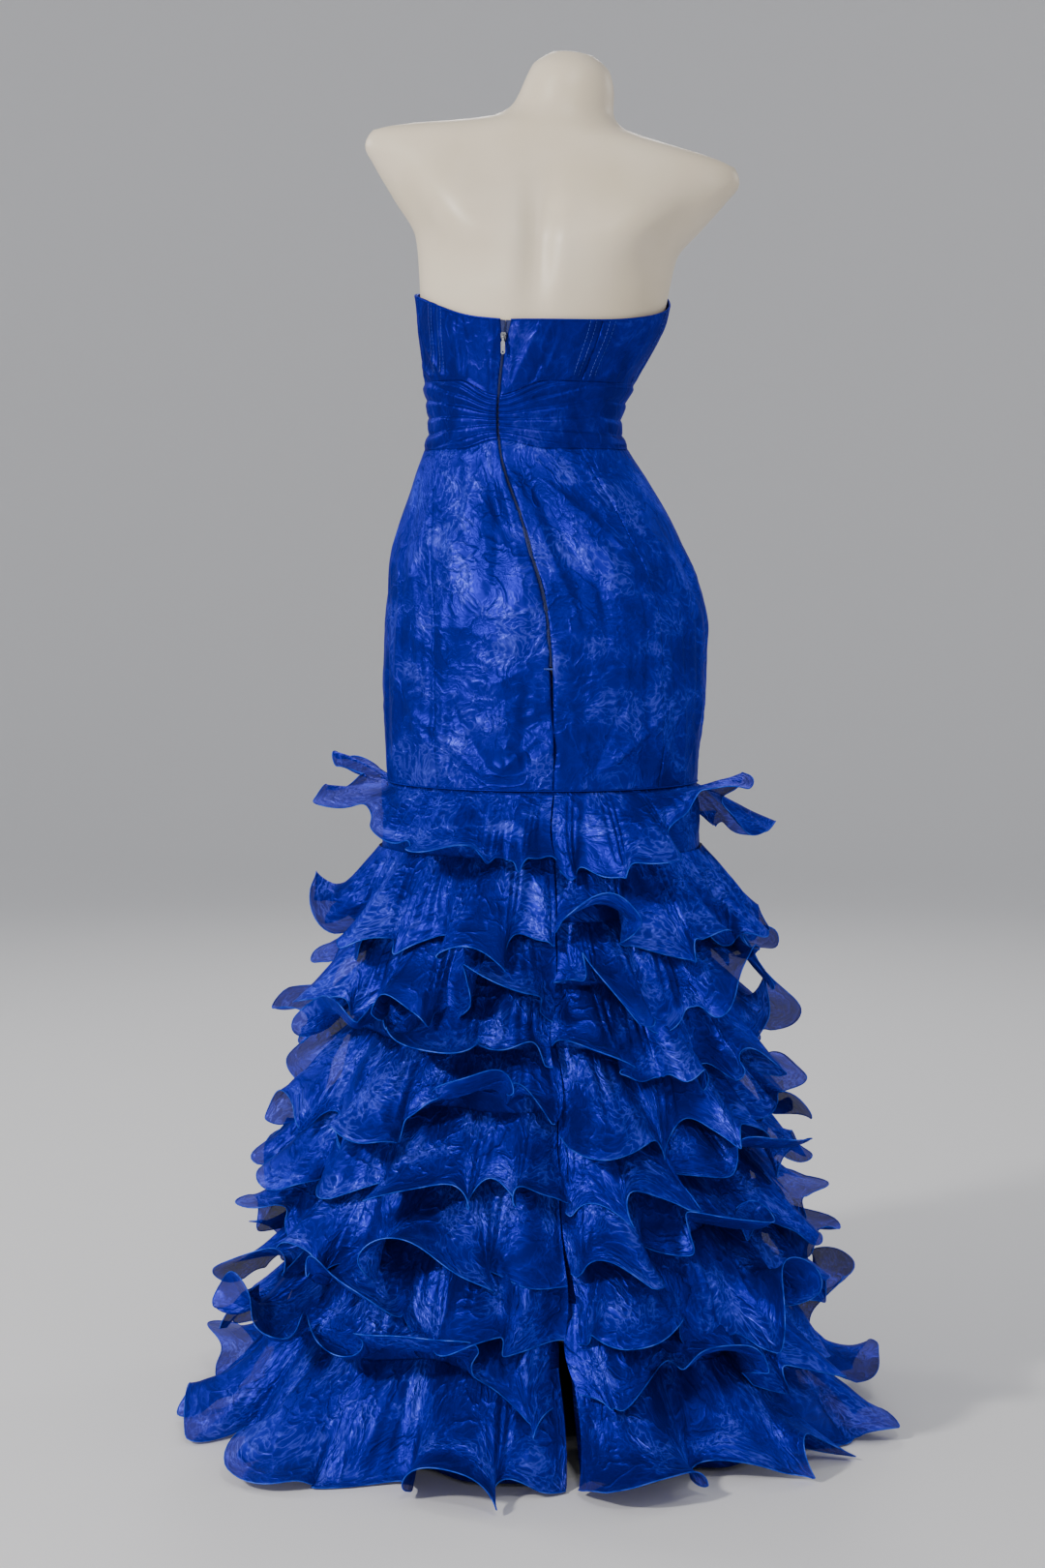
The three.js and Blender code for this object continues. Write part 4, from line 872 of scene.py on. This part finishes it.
tube_tree, inputs, outputs = curve_tree("rolled_tube", [
    ("Radius", "NodeSocketFloat", 0.001), ("Sides", "NodeSocketInt", 6),
    ("Material", "NodeSocketMaterial", None)])
to_curve, ring, tube, smooth, realize, paint = geometry_nodes(
    tube_tree, "MeshToCurve", "CurvePrimitiveCircle", "CurveToMesh", "SetShadeSmooth",
    "RealizeInstances", "SetMaterial")
joined(
    tube_tree, (inputs, "Geometry", to_curve, "Mesh"), (inputs, "Radius", ring, "Radius"),
    (inputs, "Sides", ring, "Resolution"), (to_curve, "Curve", tube, "Curve"),
    (ring, "Curve", tube, "Profile Curve"), (tube, "Mesh", smooth, "Geometry"),
    (smooth, "Geometry", realize, "Geometry"), (realize, "Geometry", paint, "Geometry"),
    (inputs, "Material", paint, "Material"), (paint, "Geometry", outputs, "Geometry"))


def grown(name, path, tree, material, sides, **sizes):
    """A piece that a Geometry Nodes tree makes once along a path. Path and sizes are in millimetres."""
    mesh = bpy.data.meshes.new(name)
    mesh.from_pydata((np.asarray(path) * MM).tolist(), [(j, j + 1) for j in range(len(path) - 1)], [])
    mesh.materials.append(material)
    piece = placed(name, mesh)
    modifier = piece.modifiers.new(tree.name, "NODES")
    modifier.node_group = tree
    values = {"Material": material, "Sides": sides}
    values.update({size.capitalize(): value * MM for size, value in sizes.items()})
    for item in tree.interface.items_tree:
        if item.in_out == "INPUT" and item.name in values:
            modifier[item.identifier] = values[item.name]
    view = bpy.context.evaluated_depsgraph_get()
    made = bpy.data.meshes.new_from_object(piece.evaluated_get(view))
    made.name = piece.name
    piece.modifiers.remove(modifier)
    piece.data = made
    return piece


for piece, name, length, hem in ruffle_hems:
    edge = grown(name + "_hem", hem, tube_tree, rolled_edge, sides=5, radius=HEM["radius"])
    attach(edge, "gown")

# The piping: a fine round edge of the same organza along the turned neckline, and another along the
# knee seam, where the fitted skirt ends and the ruffles begin.
PIPING = {"neckline": 1.1, "knee": 0.9}
around = np.linspace(0, 360, 721)
for name, height, radius, out in (
    ("neckline_piping", neckline(around) - 0.6, PIPING["neckline"], 0.6),
    ("knee_piping", knee(around) + 0.4, PIPING["knee"], 0.9),
):
    ends = edge_turn(0, height) if name == "neckline_piping" else 0 * around
    path = gown_points(around + ends * (1 - around / 180), height, out + 0 * around)
    piping = grown(name, path, tube_tree, organza, sides=6, radius=radius)
    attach(piping, "gown")

# The stitches: short bars of twisted thread, one after the other, in two rows on each side of a bodice
# seam. They hold the bone channels.
thread, tree, shader = material_with("thread", (0.012, 0.05, 0.45), 0.45, Sheen_Weight=0.3)
mottled(tree, shader, soft_noise(tree, 900, 2), [(0.35, (0.006, 0.03, 0.3)), (0.65, (0.03, 0.1, 0.6))])
bar_tree, inputs, outputs = curve_tree("bars_along_path", [
    ("Spacing", "NodeSocketFloat", 0.004), ("Length", "NodeSocketFloat", 0.003),
    ("Radius", "NodeSocketFloat", 0.0003), ("Sides", "NodeSocketInt", 6),
    ("Material", "NodeSocketMaterial", None)])
to_curve, spots, bar, place, realize, paint = geometry_nodes(
    bar_tree, "MeshToCurve", "CurveToPoints", "MeshCylinder", "InstanceOnPoints",
    "RealizeInstances", "SetMaterial")
spots.mode = "LENGTH"
joined(
    bar_tree, (inputs, "Geometry", to_curve, "Mesh"), (to_curve, "Curve", spots, "Curve"),
    (inputs, "Spacing", spots, "Length"), (inputs, "Length", bar, "Depth"),
    (inputs, "Radius", bar, "Radius"), (inputs, "Sides", bar, "Vertices"),
    (spots, "Points", place, "Points"), (spots, "Rotation", place, "Rotation"),
    (bar, "Mesh", place, "Instance"),
    (place, "Instances", realize, "Geometry"), (realize, "Geometry", paint, "Geometry"),
    (inputs, "Material", paint, "Material"), (paint, "Geometry", outputs, "Geometry"))

STITCH = {"spacing": 4.2, "length": 3, "radius": 0.22}
STITCH_ROWS, STITCH_ENDS, STITCH_POINTS = (3.2, 6.0), 3, 40
for seam_cut in (44, 92, 152, 208, 268, 316):
    for side in (-1, 1):
        for row in STITCH_ROWS:
            cut = seam_cut + side * row + np.zeros(STITCH_POINTS)
            ends = neckline(cut[0]) - STITCH_ENDS, waist_high(cut[0]) + STITCH_ENDS
            z, v = np.linspace(*ends, STITCH_POINTS), np.linspace(0, 1, STITCH_POINTS)
            path = gown_points(cut, z, bodice_relief(cut, z, v, row + 0 * cut) + 0.1)
            stitches = grown(
                f"bone_stitches_{seam_cut}_{side}_{row}", path, bar_tree, thread, sides=5, **STITCH)
            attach(stitches, "gown")

# The zip: two rows of fine teeth on a dark woven tape, closed up to the slider and parted above it. A
# bar of thread holds the end. The slider and its pull are pressed metal.
zip_cord, tree, shader = material_with("zip_cord", (0.006, 0.013, 0.11), 0.55)
weave = soft_noise(tree, 700, 2)
mottled(tree, shader, weave, [(0.35, (0.003, 0.007, 0.07)), (0.65, (0.01, 0.022, 0.16))])
grained(tree, shader, weave, 0.5, 0.0003)
TEETH = {"spacing": 1.2, "length": 0.62, "radius": 0.62}
TEETH_ROW = {"apart": 0.55, "parted": 0.4, "out": -0.5, "stagger": 0.3, "points": 240}
SLIDER_Z = 1216
TAPE = {"edge": 2.2, "out": -1.0, "rows": 90, "columns": 4, "apart": 0.02, "below_neckline": 1}


def zip_offset(z):
    """How far each row of teeth stands from the centre line, in millimetres."""
    parted = TEETH_ROW["parted"] * np.clip((z - SLIDER_Z) / (BACK_NECK - ZIP["mouth"]), 0, 1)
    return TEETH_ROW["apart"] + parted


for side, label in ((1, "left"), (-1, "right")):
    z = np.linspace(ZIP["low"] + 1, neckline(0) - 3, TEETH_ROW["points"]) + side * TEETH_ROW["stagger"]
    cut = side * np.degrees(zip_offset(z) / read(GOWN, "side", z))
    path = gown_points(cut, z, TEETH_ROW["out"] + 0 * z)
    row = grown(f"zip_teeth_{label}", path, bar_tree, zip_cord, sides=7, **TEETH)
    across, down = np.meshgrid(np.linspace(0, 1, TAPE["columns"]), np.linspace(0, 1, TAPE["rows"]))
    tape_top = neckline(0) - TAPE["below_neckline"]
    z = tape_top - (tape_top - ZIP["low"]) * down
    inner = zip_offset(z) - TEETH_ROW["apart"] + TAPE["apart"]
    outer = TAPE["edge"] + ZIP["open"] * np.clip((z - ZIP["mouth"]) / (BACK_NECK - ZIP["mouth"]), 0, 1)
    offset = side * (inner + (outer - inner) * across)
    cut = np.degrees(offset / read(GOWN, "side", z))
    if side < 0:
        cut = cut[:, ::-1]
    points = gown_points(cut, z, TAPE["out"] + 0 * z).reshape(-1, 3)
    tape = mesh_piece(f"zip_tape_{label}", points, grid_faces(TAPE["rows"], TAPE["columns"]), zip_cord)
    for piece in (row, tape):
        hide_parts("zip_chain")
        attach(piece, "gown")

BAR = {"spacing": 0.6, "length": 0.5, "radius": 0.9}
BAR_ROW = {"half": 8, "z": 857.5, "out": 1.6, "points": 24}
z = np.full(BAR_ROW["points"], BAR_ROW["z"])
cut = np.linspace(-BAR_ROW["half"], BAR_ROW["half"], BAR_ROW["points"]) / read(GOWN, "side", z)
path = gown_points(np.degrees(cut), z, BAR_ROW["out"] + 0 * z)
bar_tack = grown("zip_end_bar", path, bar_tree, thread, sides=8, **BAR)
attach(bar_tack, "gown")

zip_metal, tree, shader = material_with("zip_metal", (0.36, 0.37, 0.4), 0.34, Metallic=1.0)
worn(tree, shader, soft_noise(tree, 500, 3), 0.2, 0.42)
for node in ("zip_slider", "zip_pull"):
    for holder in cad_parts[node].material_slots:
        holder.material = zip_metal
